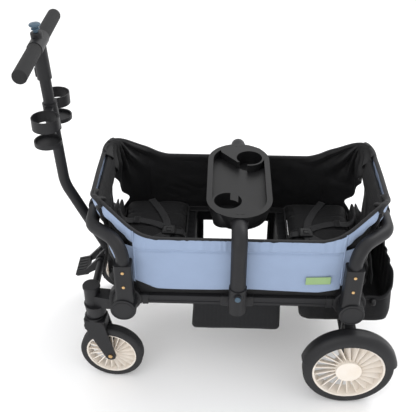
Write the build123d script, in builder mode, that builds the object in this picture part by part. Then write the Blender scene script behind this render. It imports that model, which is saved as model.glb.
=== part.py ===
"""Two-child pull wagon: folding end hoops, swivelling front casters, pull handle, lift-off tray.

Millimetres.  X runs along the wagon: the pull handle is at -X and the large wheels are at +X.
Y runs across it, with the left side at -Y.  Z is up, and z = 0 is the ground.
The origin is on the ground, midway between the four fold hubs.
"""

from build123d import *
from math import cos, radians, sin
import os

# ---- frame ----
HUB_X = 348  # fold hubs, ahead of and behind the origin
HUB_Z = 360  # height of the fold hubs and of the side rails
RAIL_Y = 235
RAIL_W = 24
RAIL_H = 32
RAIL_END = 297  # where a rail butts against its hub housing
HOUSING_IN = 222  # inner and outer faces of the fixed hub housings
HOUSING_OUT = 250
HOUSING_R = 50
BOLT_R = 5
FIT = 0.05  # radial clearance of a running fit
MID_TUBE_X = 158  # cross tubes on either side of the footwell

# ---- folding hoops ----
ARM_IN = 251  # inner and outer faces of the hinge arms
ARM_OUT = 296
ARM_DISC_R = 40
CAP_T = 5  # raised cap over the fold joint
SLEEVE_W = 54
SLEEVE_X = 342  # hoop tubes and their sleeves stand a little inside the hubs
SLEEVE_TOP = 529
HOOP_R = 20.5
HOOP_Y = 273.5
HOOP_TOP = 594
HOOP_BAR_X = 444
HOOP_BAR_Y = 178
STRAP_Y = 75

# ---- wheels ----
REAR_X = 360
REAR_R = 145
REAR_RIM_R = 115
REAR_Y = 309
REAR_WIDTH = 46
FRONT_R = 105
FRONT_RIM_R = 84
FRONT_WIDTH = 40
POST_X = -457
POST_Y = 214
POST_R = 25
POST_BOTTOM = 262
POST_TOP = 378
TRAIL = 49
YAW = {"left": -6, "right": 4}  # how the two casters happen to stand, in degrees
BEAM_Z = 330  # beam between the caster posts
BEAM_R = 12.5

# ---- pull handle ----
PIVOT = (-435, 0, 365)
KNEE = (-554, 0, 626)
TEE = (-579, 0, 1093)
HANDLE_R = 17
GRIP_R = 20.5
GRIP_END = 225
CUP_R = 41
CUP_Y = 80

# ---- tray and its arch ----
TRAY_POST_Y = 277
TRAY_POST_R = 24
TRAY_BAR_Z = 627
TRAY_TOP = 655
TRAY_WIDTH = 200
TRAY_LENGTH = 426
TRAY_CUP = (-35, -125)

# ---- soft tub ----
WALL_Y = 236
WALL_T = 8
WALL_TOP = 592
SEAT_TOP = 432
BAND_Y = 164


def save(builder, name):
    """Label a finished piece and write it as its own STEP file."""
    builder.part.label = name
    export_step(builder.part, "parts/" + name + ".step")


def at_y(y):
    """Upright plane at -y: x runs along the wagon, sketch y is up, and it extrudes outboard."""
    return Plane.XZ.offset(y)


def mirror_to_four():
    """Copy a rear left piece to the rear right, then both to the front."""
    mirror(about=Plane.XZ)
    mirror(about=Plane.YZ)


def mirrored(source, plane):
    """The other hand of a finished part."""
    with BuildPart() as copy:
        add(source.part.mirror(plane))
    return copy


def caster_frame(side):
    """Plane on the ground under a caster post, with x along the caster's trail."""
    y = -POST_Y if side == "left" else POST_Y
    yaw = radians(YAW[side])
    return Plane(origin=(POST_X, y, 0), x_dir=(cos(yaw), sin(yaw), 0), z_dir=(0, 0, 1))


def caster_side(side, out):
    """Upright plane of a caster's wheel: sketch x along the trail, sketch y up, moved outboard."""
    ground = caster_frame(side)
    return Plane(origin=ground.origin, x_dir=ground.x_dir, z_dir=-ground.y_dir).offset(out)


def wheel_plane(side, front):
    """Plane through a wheel's centre, with its z along the axle."""
    if front:
        upright = caster_side(side, 0)
        return Plane(origin=upright.from_local_coords((TRAIL, FRONT_R, 0)), x_dir=upright.x_dir,
                     z_dir=upright.z_dir)
    y = -REAR_Y if side == "left" else REAR_Y
    return Plane(origin=(REAR_X, y, REAR_R), x_dir=(1, 0, 0), z_dir=(0, -1 if side == "left" else 1, 0))


def rail_section():
    """Outer profile of a side rail, for the sketch it is called in."""
    with Locations((-RAIL_Y, HUB_Z)):
        RectangleRounded(RAIL_W, RAIL_H, 3)


os.makedirs("parts", exist_ok=True)

# =============================== fixed frame ===============================

with BuildPart() as side_rail_left:
    with BuildSketch(Plane.YZ.offset(-RAIL_END)):
        rail_section()
        with Locations((-RAIL_Y, HUB_Z)):
            RectangleRounded(RAIL_W - 6, RAIL_H - 6, 2, mode=Mode.SUBTRACT)
        with Locations((-RAIL_Y - RAIL_W / 2, HUB_Z)):
            Rectangle(3, 10, mode=Mode.SUBTRACT)
    extrude(amount=2 * RAIL_END)
save(side_rail_left, "side_rail_left")
save(mirrored(side_rail_left, Plane.XZ), "side_rail_right")

with BuildPart() as rail_collars:
    with BuildSketch(Plane.YZ.offset(276)):
        with Locations((-RAIL_Y, HUB_Z)):
            RectangleRounded(RAIL_W + 6, RAIL_H + 6, 5)
            RectangleRounded(RAIL_W, RAIL_H, 3, mode=Mode.SUBTRACT)
    extrude(amount=18)
    mirror_to_four()
save(rail_collars, "rail_collars")

SOCKET_R = TRAY_POST_R + 3
SOCKET_LOW = 350
SOCKET_HIGH = 445
BUTTON_Z = 425
BUTTON_R = 9
BOSS_OUT = TRAY_POST_Y + SOCKET_R + 7
with BuildPart() as centre_brackets:
    with BuildSketch(Plane.YZ.offset(-56)):
        with Locations((-RAIL_Y, HUB_Z)):
            RectangleRounded(RAIL_W + 6, RAIL_H + 6, 5)
    extrude(amount=112)
    with BuildSketch(at_y(RAIL_Y + RAIL_W / 2 + 3)):
        with Locations((0, SOCKET_LOW + SOCKET_R)):
            Circle(SOCKET_R - 3)
        with Locations((0, 400)):
            Rectangle(2 * SOCKET_R - 6, 46)
    extrude(amount=20)
    with BuildSketch(Plane.XY.offset(SOCKET_LOW)):
        with Locations((0, -TRAY_POST_Y)):
            Circle(SOCKET_R)
    extrude(amount=SOCKET_HIGH - SOCKET_LOW)
    fillet(edges().filter_by(GeomType.CIRCLE).group_by(Axis.Z)[0], 12)
    with BuildSketch(at_y(TRAY_POST_Y + TRAY_POST_R)):
        with Locations((0, BUTTON_Z)):
            Circle(BUTTON_R + 4)
    extrude(amount=SOCKET_R - TRAY_POST_R + 7)
    with BuildSketch(at_y(TRAY_POST_Y + SOCKET_R)):
        with Locations((0, BUTTON_Z)):
            Circle(BUTTON_R + 0.1)
    extrude(amount=7, mode=Mode.SUBTRACT)
    with BuildSketch(Plane.XY.offset(SOCKET_LOW + 14)):
        with Locations((0, -TRAY_POST_Y)):
            Circle(TRAY_POST_R + 0.3)
    extrude(amount=120, mode=Mode.SUBTRACT)
    with BuildSketch(Plane.YZ.offset(-60)):
        rail_section()
    extrude(amount=120, mode=Mode.SUBTRACT)
    mirror(about=Plane.XZ)
save(centre_brackets, "centre_brackets")

with BuildPart() as hub_housings:
    with BuildSketch(at_y(HOUSING_IN)):
        with Locations((HUB_X, HUB_Z)):
            Circle(HOUSING_R)
    extrude(amount=HOUSING_OUT - HOUSING_IN)
    fillet(edges().filter_by(GeomType.CIRCLE), 3)
    with BuildSketch(Plane.YZ.offset(RAIL_END)):
        with Locations((-RAIL_Y - 1, HUB_Z)):
            RectangleRounded(RAIL_W + 3, RAIL_H + 4, 5)
    extrude(amount=40)
    with BuildSketch(at_y(HOUSING_IN)):
        with Locations((HUB_X, HUB_Z)):
            Circle(BOLT_R)
    extrude(amount=40, mode=Mode.SUBTRACT)
    mirror_to_four()
save(hub_housings, "hub_housings")

with BuildPart() as hub_bolts:
    with BuildSketch(at_y(HOUSING_IN + 2)):
        with Locations((HUB_X, HUB_Z)):
            Circle(BOLT_R)
    extrude(amount=ARM_OUT - HOUSING_IN - 10)
    mirror_to_four()
save(hub_bolts, "hub_bolts")

with BuildPart() as cross_tubes:
    for x, z, radius, reach in ((-HUB_X, HUB_Z, 13, HOUSING_IN), (HUB_X, HUB_Z, 13, HOUSING_IN),
                                (-MID_TUBE_X, HUB_Z, 11, RAIL_Y - RAIL_W / 2),
                                (MID_TUBE_X, HUB_Z, 11, RAIL_Y - RAIL_W / 2),
                                (POST_X, BEAM_Z, BEAM_R, POST_Y - 5)):
        with BuildSketch(Plane.XZ):
            with Locations((x, z)):
                Circle(radius)
                Circle(radius - 2, mode=Mode.SUBTRACT)
        extrude(amount=reach, both=True)
    with BuildSketch(Plane.XY.offset(BEAM_Z - 20)):
        with Locations((POST_X, -POST_Y), (POST_X, POST_Y)):
            Circle(POST_R)
    extrude(amount=40, mode=Mode.SUBTRACT)
save(cross_tubes, "cross_tubes")

with BuildPart() as caster_arms:
    with BuildSketch(Plane.XY.offset(BEAM_Z - 16)):
        with BuildLine():
            Polyline((POST_X, -POST_Y - 21), (POST_X, -POST_Y + 21), (-402, -198), (-362, -222),
                     (-362, -249), (-405, -246), close=True)
        make_face()
    extrude(amount=42)
    with BuildSketch(Plane.XY.offset(BEAM_Z - 56)):
        with Locations((POST_X + 8, -POST_Y)):
            Circle(POST_R + 6)
    extrude(amount=40, taper=-8)
    with BuildSketch(Plane.XY.offset(BEAM_Z - 60)):
        with Locations((POST_X, -POST_Y)):
            Circle(POST_R)
    extrude(amount=100, mode=Mode.SUBTRACT)
    with BuildSketch(at_y(HOUSING_IN - 1)):
        with Locations((-HUB_X, HUB_Z)):
            Circle(HOUSING_R)
    extrude(amount=HOUSING_OUT - HOUSING_IN + 2, mode=Mode.SUBTRACT)
    with BuildSketch(Plane.XZ):
        with Locations((POST_X, BEAM_Z)):
            Circle(BEAM_R)
    extrude(amount=POST_Y, mode=Mode.SUBTRACT)
    mirror(about=Plane.XZ)
save(caster_arms, "caster_arms")

BEARING_R = 19
with BuildPart() as caster_posts:
    with BuildSketch(Plane.XY.offset(POST_BOTTOM)):
        with Locations((POST_X, -POST_Y)):
            Circle(POST_R)
            Circle(BEARING_R, mode=Mode.SUBTRACT)
    extrude(amount=POST_TOP - POST_BOTTOM)
    with BuildSketch(Plane.XY.offset(POST_TOP)):
        with Locations((POST_X, -POST_Y)):
            Circle(POST_R + 3)
    extrude(amount=9)
    fillet(edges().filter_by(GeomType.CIRCLE).group_by(Axis.Z)[-1], 4)
    mirror(about=Plane.XZ)
save(caster_posts, "caster_posts")

STEM_R = 10
with BuildPart() as caster_bearings:
    for z in (POST_BOTTOM + 2, POST_TOP - 14):
        with BuildSketch(Plane.XY.offset(z)):
            with Locations((POST_X, -POST_Y)):
                Circle(BEARING_R)
                Circle(STEM_R + FIT, mode=Mode.SUBTRACT)
        extrude(amount=10)
    mirror(about=Plane.XZ)
save(caster_bearings, "caster_bearings")

EAR_IN = 19
EAR_T = 7
with BuildPart() as handle_bracket:
    with BuildSketch(at_y(EAR_IN)):
        with Locations((POST_X, BEAM_Z)):
            Circle(BEAM_R + 7)
        with Locations((PIVOT[0], PIVOT[2])):
            Circle(14)
        make_hull()
        with Locations((POST_X, BEAM_Z)):
            Circle(BEAM_R, mode=Mode.SUBTRACT)
        with Locations((PIVOT[0], PIVOT[2])):
            Circle(BOLT_R, mode=Mode.SUBTRACT)
    extrude(amount=EAR_T)
    mirror(about=Plane.XZ)
save(handle_bracket, "handle_bracket")

with BuildPart() as handle_pivot_bolt:
    with BuildSketch(Plane.XZ):
        with Locations((PIVOT[0], PIVOT[2])):
            Circle(BOLT_R)
    extrude(amount=EAR_IN + EAR_T, both=True)
    for y in (EAR_IN + EAR_T, -EAR_IN - EAR_T - 5):
        with BuildSketch(at_y(y)):
            with Locations((PIVOT[0], PIVOT[2])):
                RegularPolygon(9, 6)
        extrude(amount=5)
save(handle_pivot_bolt, "handle_pivot_bolt")

AXLE_R = 8
with BuildPart() as rear_legs:
    with BuildSketch(at_y(226)):
        with Locations((HUB_X + 3, HUB_Z - 30)):
            Circle(17)
        with Locations((REAR_X, REAR_R)):
            Circle(20)
        make_hull()
        with Locations((REAR_X, REAR_R)):
            Circle(AXLE_R, mode=Mode.SUBTRACT)
    extrude(amount=26)
    with BuildSketch(at_y(HOUSING_IN - 1)):
        with Locations((HUB_X, HUB_Z)):
            Circle(HOUSING_R)
    extrude(amount=31, mode=Mode.SUBTRACT)
    mirror(about=Plane.XZ)
save(rear_legs, "rear_legs")

with BuildPart() as rear_axle:
    with BuildSketch(Plane.XZ):
        with Locations((REAR_X, REAR_R)):
            Circle(AXLE_R)
    extrude(amount=REAR_Y + REAR_WIDTH / 2 - 8, both=True)
save(rear_axle, "rear_axle")

FENDER_R = REAR_R + 10
FENDER_HALF = REAR_WIDTH / 2 + 8
FENDER_T = 3
FENDER_LIP = REAR_RIM_R + 3
with BuildPart() as rear_fenders:
    with BuildSketch(Plane.YZ.offset(REAR_X)) as fender_section:
        with Locations((-REAR_Y, REAR_R + FENDER_R - 35)):
            RectangleRounded(2 * FENDER_HALF, 70, 24)
            RectangleRounded(2 * (FENDER_HALF - FENDER_T), 70 - 2 * FENDER_T, 21, mode=Mode.SUBTRACT)
        with Locations((-REAR_Y, REAR_R + FENDER_LIP - 30)):
            Rectangle(3 * FENDER_HALF, 60, mode=Mode.SUBTRACT)
    revolve(axis=Axis((REAR_X, 0, REAR_R), (0, 1, 0)), revolution_arc=80)
    add(fender_section.sketch)
    revolve(axis=Axis((REAR_X, 0, REAR_R), (0, -1, 0)), revolution_arc=76)
    with BuildSketch(at_y(252)):
        with Locations((REAR_X - 6, REAR_R + FENDER_LIP + 12)):
            RectangleRounded(30, 24, 5)
    extrude(amount=REAR_Y - FENDER_HALF - 252 + 1)
    mirror(about=Plane.XZ)
save(rear_fenders, "rear_fenders")

# =============================== folding hoops ===============================

with BuildPart() as rear_hinge_arms:
    with BuildSketch(at_y(ARM_IN)):
        with Locations((HUB_X, HUB_Z)):
            Circle(ARM_DISC_R)
    extrude(amount=ARM_OUT - ARM_IN)
    with BuildSketch(Plane.XY.offset(HUB_Z)):
        with Locations((SLEEVE_X, -(ARM_IN + ARM_OUT) / 2)):
            RectangleRounded(SLEEVE_W, ARM_OUT - ARM_IN, 9)
    extrude(amount=SLEEVE_TOP - HUB_Z)
    with BuildSketch(at_y(ARM_OUT)):
        with Locations((HUB_X, HUB_Z)):
            Circle(ARM_DISC_R - 1)
    extrude(amount=CAP_T)
    fillet(faces().sort_by(Axis.Y)[0].edges(), 2)
    with BuildSketch(at_y(ARM_OUT + CAP_T - 1.2)):
        with Locations((HUB_X, HUB_Z)):
            Circle(33)
            Circle(31, mode=Mode.SUBTRACT)
    extrude(amount=4, mode=Mode.SUBTRACT)
    with BuildSketch(Plane.XY.offset(428)):
        with Locations((SLEEVE_X, -HOOP_Y)):
            Circle(HOOP_R)
    extrude(amount=120, mode=Mode.SUBTRACT)
    with BuildSketch(at_y(ARM_IN)):
        with Locations((HUB_X, HUB_Z)):
            Circle(BOLT_R + FIT)
    extrude(amount=ARM_OUT - ARM_IN - 7, mode=Mode.SUBTRACT)
    mirror(about=Plane.XZ)
save(rear_hinge_arms, "rear_hinge_arms")
save(mirrored(rear_hinge_arms, Plane.YZ), "front_hinge_arms")

with BuildPart() as rear_arm_rivets:
    with BuildSketch(at_y(ARM_OUT)):
        with Locations((SLEEVE_X, 450), (SLEEVE_X, 505)):
            Circle(5)
    extrude(amount=2.4)
    fillet(faces().sort_by(Axis.Y)[:2].edges(), 1.6)
    mirror(about=Plane.XZ)
save(rear_arm_rivets, "rear_arm_rivets")
save(mirrored(rear_arm_rivets, Plane.YZ), "front_arm_rivets")

with BuildPart() as rear_hoop_tube:
    with BuildLine() as hoop_path:
        FilletPolyline((SLEEVE_X, -HOOP_Y, 430), (SLEEVE_X, -HOOP_Y, HOOP_TOP + 4),
                       (HOOP_BAR_X, -HOOP_BAR_Y, HOOP_TOP), (HOOP_BAR_X, HOOP_BAR_Y, HOOP_TOP),
                       (SLEEVE_X, HOOP_Y, HOOP_TOP + 4), (SLEEVE_X, HOOP_Y, 430), radius=55)
    with BuildSketch(Plane(origin=hoop_path.line @ 0, z_dir=hoop_path.line % 0)):
        Circle(HOOP_R)
        Circle(HOOP_R - 2, mode=Mode.SUBTRACT)
    sweep()
save(rear_hoop_tube, "rear_hoop_tube")
save(mirrored(rear_hoop_tube, Plane.YZ), "front_hoop_tube")

with BuildPart() as rear_end_band:
    with BuildSketch(at_y(-BAND_Y)):
        with BuildLine():
            Polyline((404, 585), (418, 585), (418, 612), (441, 621), (441, 672), (416, 672),
                     (404, 650), close=True)
        make_face()
    extrude(amount=2 * BAND_Y)
    fillet(edges().filter_by(Axis.Y).sort_by(Axis.Z)[-2:], 6)
save(rear_end_band, "rear_end_band")
save(mirrored(rear_end_band, Plane.YZ), "front_end_band")

with BuildPart() as rear_hoop_straps:
    for y in (STRAP_Y - 12, -STRAP_Y - 12):
        with BuildSketch(at_y(y)):
            with Locations((HOOP_BAR_X, HOOP_TOP)):
                Circle(HOOP_R + 3)
            with Locations((HOOP_BAR_X + 4, HOOP_TOP - 36)):
                Rectangle(5, 44)
            with Locations((HOOP_BAR_X, HOOP_TOP)):
                Circle(HOOP_R + 0.3, mode=Mode.SUBTRACT)
        extrude(amount=24)
        with BuildSketch(at_y(y - 6)):
            with Locations((HOOP_BAR_X + 5, HOOP_TOP - 62)):
                RectangleRounded(14, 34, 4)
        extrude(amount=36)
save(rear_hoop_straps, "rear_hoop_straps")
save(mirrored(rear_hoop_straps, Plane.YZ), "front_hoop_straps")

# =============================== soft tub ===============================

with BuildPart() as side_wall_left:
    with BuildSketch(at_y(WALL_Y)):
        with BuildLine():
            Polyline((-292, 381), (292, 381), (305, 394), (305, WALL_TOP + 14), (240, WALL_TOP),
                     (-240, WALL_TOP), (-305, WALL_TOP + 14), (-305, 394), close=True)
        make_face()
    extrude(amount=WALL_T)
save(side_wall_left, "side_wall_left")
save(mirrored(side_wall_left, Plane.XZ), "side_wall_right")

GUSSET_ALONG = Vector(100, 50, 0).normalized()
with BuildPart() as corner_gussets:
    with BuildSketch(Plane(origin=(308, -239, 0), x_dir=GUSSET_ALONG,
                           z_dir=GUSSET_ALONG.cross(Vector(0, 0, 1)))):
        with BuildLine():
            Polyline((0, 415), (110, 470), (110, 562), (84, 570), (84, 648), (0, 610), close=True)
        make_face()
    extrude(amount=WALL_T / 2, both=True)
    mirror_to_four()
save(corner_gussets, "corner_gussets")

with BuildPart() as rear_backrest:
    with BuildSketch(Plane.XY.offset(386)):
        with Locations((402, 0)):
            RectangleRounded(12, 348, 5)
    extrude(amount=72)
save(rear_backrest, "rear_backrest")
save(mirrored(rear_backrest, Plane.YZ), "front_backrest")

with BuildPart() as rear_seat:
    with BuildSketch(Plane.XY.offset(375)):
        with Locations((279, 0)):
            RectangleRounded(226, 424, 20)
    extrude(amount=SEAT_TOP - 375)
    fillet(edges().group_by(Axis.Z)[-1], 15)
save(rear_seat, "rear_seat")
save(mirrored(rear_seat, Plane.YZ), "front_seat")

FOOT_X = 144
FOOT_Y = 220
FOOT_LOW = 205
FOOT_WALL = 4
with BuildPart() as footwell:
    with BuildSketch(Plane.XY.offset(FOOT_LOW)):
        RectangleRounded(2 * FOOT_X, 2 * FOOT_Y, 12)
    extrude(amount=374.5 - FOOT_LOW)
    with BuildSketch(Plane.XY.offset(FOOT_LOW + 6)):
        RectangleRounded(2 * (FOOT_X - FOOT_WALL), 2 * (FOOT_Y - FOOT_WALL), 9)
    extrude(amount=200, mode=Mode.SUBTRACT)
    with BuildSketch(Plane.XZ.offset(-FOOT_Y + 20)):
        with Locations((0, 287)):
            RectangleRounded(250, 95, 10)
    extrude(amount=-40, mode=Mode.SUBTRACT)
    with BuildSketch(Plane.XY.offset(371.3)):
        with Locations((-FOOT_X - 9, 0), (FOOT_X + 9, 0)):
            Rectangle(24, 410)
    extrude(amount=3.2)
save(footwell, "footwell")

BASKET_LOW = 232
BASKET_TOP = 343
BASKET_BACK_TOP = 408
with BuildPart() as rear_basket:
    with BuildSketch(Plane.XY.offset(BASKET_LOW)):
        with Locations((351, 0)):
            RectangleRounded(294, 410, 18)
    extrude(amount=BASKET_TOP - BASKET_LOW)
    with BuildSketch(Plane.XY.offset(BASKET_LOW)):
        with Locations((495, 0)):
            Rectangle(6, 360)
    extrude(amount=BASKET_BACK_TOP - BASKET_LOW)
    with BuildSketch(Plane.XY.offset(BASKET_LOW + 4)):
        with Locations((349, 0)):
            RectangleRounded(282, 402, 14)
    extrude(amount=200, mode=Mode.SUBTRACT)
save(rear_basket, "rear_basket")

with BuildPart() as harnesses:
    for y in (-58, 58):
        with BuildSketch(Plane.XY.offset(SEAT_TOP + 0.4)):
            with Locations((312, y)):
                RectangleRounded(130, 30, 3)
        extrude(amount=3)
    with BuildSketch(Plane.XY.offset(SEAT_TOP + 0.4)):
        with Locations((226, 0)):
            RectangleRounded(46, 40, 8)
    extrude(amount=13)
    mirror(about=Plane.YZ)
save(harnesses, "harnesses")

# =============================== tray and its arch ===============================

with BuildPart() as tray_bar_posts:
    with BuildLine() as arch_path:
        FilletPolyline((0, -TRAY_POST_Y, SOCKET_LOW + 15), (0, -TRAY_POST_Y, TRAY_BAR_Z),
                       (0, -195, TRAY_BAR_Z), radius=36)
    with BuildSketch(Plane(origin=arch_path.line @ 0, z_dir=arch_path.line % 0)):
        Circle(TRAY_POST_R)
        Circle(TRAY_POST_R - 2.5, mode=Mode.SUBTRACT)
    sweep()
    mirror(about=Plane.XZ)
save(tray_bar_posts, "tray_bar_posts")

TRAY_FLOOR = 630
TRAY_LOW = 601
CUP_HOLE_R = 42
with BuildPart() as tray:
    with BuildSketch(Plane.XY.offset(TRAY_TOP)):
        SlotOverall(TRAY_LENGTH, TRAY_WIDTH, rotation=90)
    extrude(amount=-(TRAY_TOP - TRAY_LOW), taper=14)
    with BuildSketch(Plane.XY.offset(TRAY_FLOOR - 4)):
        SlotOverall(TRAY_LENGTH - 24, TRAY_WIDTH - 24, rotation=90)
    extrude(amount=-60, taper=14, mode=Mode.SUBTRACT)
    with BuildSketch(Plane.XY.offset(TRAY_FLOOR)):
        SlotOverall(TRAY_LENGTH - 34, TRAY_WIDTH - 34, rotation=90)
    extrude(amount=60, mode=Mode.SUBTRACT)
    for turn in (0, 180):
        cup = Vector(*TRAY_CUP).rotate(Axis.Z, turn)
        with BuildSketch(Plane.XY.offset(TRAY_LOW + 4)):
            with Locations((cup.X, cup.Y)):
                Circle(CUP_HOLE_R + 6)
            with Locations((cup.X * 1.4, cup.Y * 1.32)):
                Circle(30)
            with Locations((-cup.X, cup.Y * 1.36)):
                Circle(24)
            make_hull()
        extrude(amount=TRAY_TOP - TRAY_LOW - 4)
    with BuildSketch(Plane.XZ.offset(-TRAY_LENGTH / 2 + 8)):
        with Locations((0, TRAY_BAR_Z)):
            Circle(TRAY_POST_R + 4)
    extrude(amount=32)
    with BuildSketch(Plane.XZ.offset(TRAY_LENGTH / 2 - 8)):
        with Locations((0, TRAY_BAR_Z)):
            Circle(TRAY_POST_R + 4)
    extrude(amount=-32)
    for turn in (0, 180):
        cup = Vector(*TRAY_CUP).rotate(Axis.Z, turn)
        with BuildSketch(Plane.XY.offset(TRAY_LOW + 8)):
            with Locations((cup.X, cup.Y)):
                Circle(CUP_HOLE_R)
        extrude(amount=100, mode=Mode.SUBTRACT)
        with BuildSketch(Plane.XY.offset(TRAY_FLOOR)):
            with Locations((cup.X * 0.3, cup.Y * 0.62)):
                Rectangle(34, 40)
        extrude(amount=60, mode=Mode.SUBTRACT)
    for end in (-1, 1):
        with BuildSketch(Plane.XZ.offset(end * 194.5)):
            with Locations((0, TRAY_BAR_Z)):
                Circle(TRAY_POST_R)
        extrude(amount=end * 60, mode=Mode.SUBTRACT)
save(tray, "tray")

with BuildPart() as tray_button_left:
    with BuildSketch(at_y(BOSS_OUT - 2.5)):
        with Locations((0, BUTTON_Z)):
            Circle(BUTTON_R)
    extrude(amount=6.5)
    fillet(faces().sort_by(Axis.Y)[0].edges(), 2)
save(tray_button_left, "tray_button_left")
save(mirrored(tray_button_left, Plane.XZ), "tray_button_right")

# =============================== pull handle ===============================

LOWER = (Vector(*KNEE) - Vector(*PIVOT)).normalized()
UPPER = (Vector(*TEE) - Vector(*KNEE)).normalized()


def up_handle(distance):
    """Plane square to the upper handle tube, a distance above the tee's centre."""
    return Plane(origin=Vector(*TEE) + UPPER * distance, x_dir=(0, 1, 0), z_dir=UPPER)


with BuildPart() as handle_tube:
    with BuildLine() as handle_path:
        FilletPolyline(Vector(*PIVOT) - LOWER * 19, Vector(*KNEE), Vector(*TEE) - UPPER * 26, radius=150)
    with BuildSketch(Plane(origin=handle_path.line @ 0, z_dir=handle_path.line % 0)):
        Circle(HANDLE_R)
        Circle(HANDLE_R - 2.5, mode=Mode.SUBTRACT)
    sweep()
    with BuildSketch(Plane.XZ):
        with Locations((PIVOT[0], PIVOT[2])):
            Circle(BOLT_R + FIT)
    extrude(amount=30, both=True, mode=Mode.SUBTRACT)
save(handle_tube, "handle_tube")

BAR_R = 13
with BuildPart() as handle_head:
    with BuildSketch(Plane.XZ):
        with Locations((TEE[0], TEE[2])):
            Circle(GRIP_R + 2)
    extrude(amount=46, both=True)
    with BuildSketch(up_handle(-106)):
        Circle(HANDLE_R + 4.5)
    extrude(amount=100)
    with BuildSketch(up_handle(-98)):
        with Locations((0, HANDLE_R + 3)):
            RectangleRounded(16, 8, 2)
    extrude(amount=26)
    with BuildSketch(up_handle(0)):
        Circle(17)
    extrude(amount=34)
    fillet(edges().filter_by(GeomType.CIRCLE).sort_by(Axis.Z)[-1], 3)
    with BuildSketch(up_handle(-110)):
        Circle(HANDLE_R)
    extrude(amount=84, mode=Mode.SUBTRACT)
    with BuildSketch(Plane.XZ):
        with Locations((TEE[0], TEE[2])):
            Circle(BAR_R)
    extrude(amount=60, both=True, mode=Mode.SUBTRACT)
    with BuildSketch(up_handle(20)):
        Circle(7 + FIT)
    extrude(amount=30, mode=Mode.SUBTRACT)
save(handle_head, "handle_head")

with BuildPart() as handle_bar:
    with BuildSketch(Plane.XZ):
        with Locations((TEE[0], TEE[2])):
            Circle(BAR_R)
            Circle(BAR_R - 2, mode=Mode.SUBTRACT)
    extrude(amount=GRIP_END - 6, both=True)
save(handle_bar, "handle_bar")

with BuildPart() as handle_grips:
    with BuildSketch(at_y(46)):
        with Locations((TEE[0], TEE[2])):
            Circle(GRIP_R)
    extrude(amount=GRIP_END - 46)
    fillet(edges().group_by(Axis.Y)[0], 5)
    with BuildSketch(at_y(46)):
        with Locations((TEE[0], TEE[2])):
            Circle(BAR_R)
    extrude(amount=GRIP_END - 46 - 6, mode=Mode.SUBTRACT)
    mirror(about=Plane.XZ)
save(handle_grips, "handle_grips")

with BuildPart() as handle_knob:
    with BuildSketch(Plane(origin=TEE, x_dir=(0, 1, 0), z_dir=Vector(0, 1, 0).cross(UPPER))):
        with BuildLine():
            Polyline((0, 28), (7, 28), (7, 41), (12.5, 42.5), (12.5, 44.5), (8.5, 47), (8.5, 49.5),
                     (15, 51.5))
            ThreePointArc((15, 51.5), (16.5, 56), (12, 59))
            Polyline((12, 59), (0, 61.5), (0, 28))
        make_face()
    revolve(axis=Axis(TEE, UPPER))
save(handle_knob, "handle_knob")

CLAMP_MID = Vector(*TEE) - UPPER * 228
RING_LOW = 868
RING_HIGH = 903
SAUCER_LOW = 815
with BuildPart() as cup_holders:
    with BuildSketch(Plane(origin=CLAMP_MID, x_dir=(0, 1, 0), z_dir=UPPER)):
        Circle(HANDLE_R + 5)
    extrude(amount=44, both=True)
    for y in (-CUP_Y, CUP_Y):
        for low, height, inner in ((RING_LOW, RING_HIGH - RING_LOW, CUP_R - 3), (SAUCER_LOW, 12, 0)):
            with BuildSketch(Plane.XY.offset(low)):
                with Locations((CLAMP_MID.X, y)):
                    Circle(CUP_R)
                with Locations((CLAMP_MID.X, y / 2)):
                    Rectangle(24, 40)
            extrude(amount=height)
    for y in (-CUP_Y, CUP_Y):
        with BuildSketch(Plane.XY.offset(RING_LOW)):
            with Locations((CLAMP_MID.X, y)):
                Circle(CUP_R - 3)
        extrude(amount=60, mode=Mode.SUBTRACT)
        with BuildSketch(Plane.XY.offset(SAUCER_LOW + 3)):
            with Locations((CLAMP_MID.X, y)):
                Circle(CUP_R - 4)
        extrude(amount=20, mode=Mode.SUBTRACT)
    with BuildSketch(Plane(origin=CLAMP_MID, x_dir=(0, 1, 0), z_dir=UPPER)):
        Circle(HANDLE_R)
    extrude(amount=80, both=True, mode=Mode.SUBTRACT)
save(cup_holders, "cup_holders")

# =============================== pedals ===============================

PEDAL_IN = EAR_IN + EAR_T + 3
with BuildPart() as front_foot_pedal:
    with BuildSketch(at_y(PEDAL_IN)):
        with Locations((POST_X, BEAM_Z)):
            Circle(BEAM_R + 5)
        with Locations((-508, 288)):
            Circle(8)
        make_hull()
        with Locations((POST_X, BEAM_Z)):
            Circle(BEAM_R + FIT, mode=Mode.SUBTRACT)
    extrude(amount=10)
    mirror(about=Plane.XZ)
    with BuildSketch(at_y(-PEDAL_IN - 10)):
        with BuildLine():
            Polyline((-500, 292), (-504, 299), (-544, 288), (-548, 275), (-541, 269), (-502, 278),
                     close=True)
        make_face()
    extrude(amount=2 * PEDAL_IN + 20)
    for i in range(5):
        with BuildSketch(at_y(-PEDAL_IN - 6 + 15 * i)):
            with BuildLine():
                Polyline((-508, 297), (-541, 288), (-543, 290), (-510, 299), close=True)
            make_face()
        extrude(amount=7)
save(front_foot_pedal, "front_foot_pedal")

with BuildPart() as parking_brake:
    with BuildSketch(Plane.XZ):
        with Locations((REAR_X, REAR_R)):
            Circle(AXLE_R + 6)
        with Locations((REAR_X + 44, REAR_R + 6)):
            Circle(6)
        make_hull()
        with Locations((REAR_X, REAR_R)):
            Circle(AXLE_R + FIT, mode=Mode.SUBTRACT)
    extrude(amount=32, both=True)
    with BuildSketch(Plane.XZ):
        with Locations((REAR_X + 44, REAR_R + 6)):
            Circle(6)
    extrude(amount=268, both=True)
    with BuildSketch(Plane.XY.offset(REAR_R + 6)):
        with Locations((REAR_X + 76, 0)):
            RectangleRounded(64, 96, 10)
    extrude(amount=9)
save(parking_brake, "parking_brake")

# =============================== casters and wheels ===============================


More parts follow.
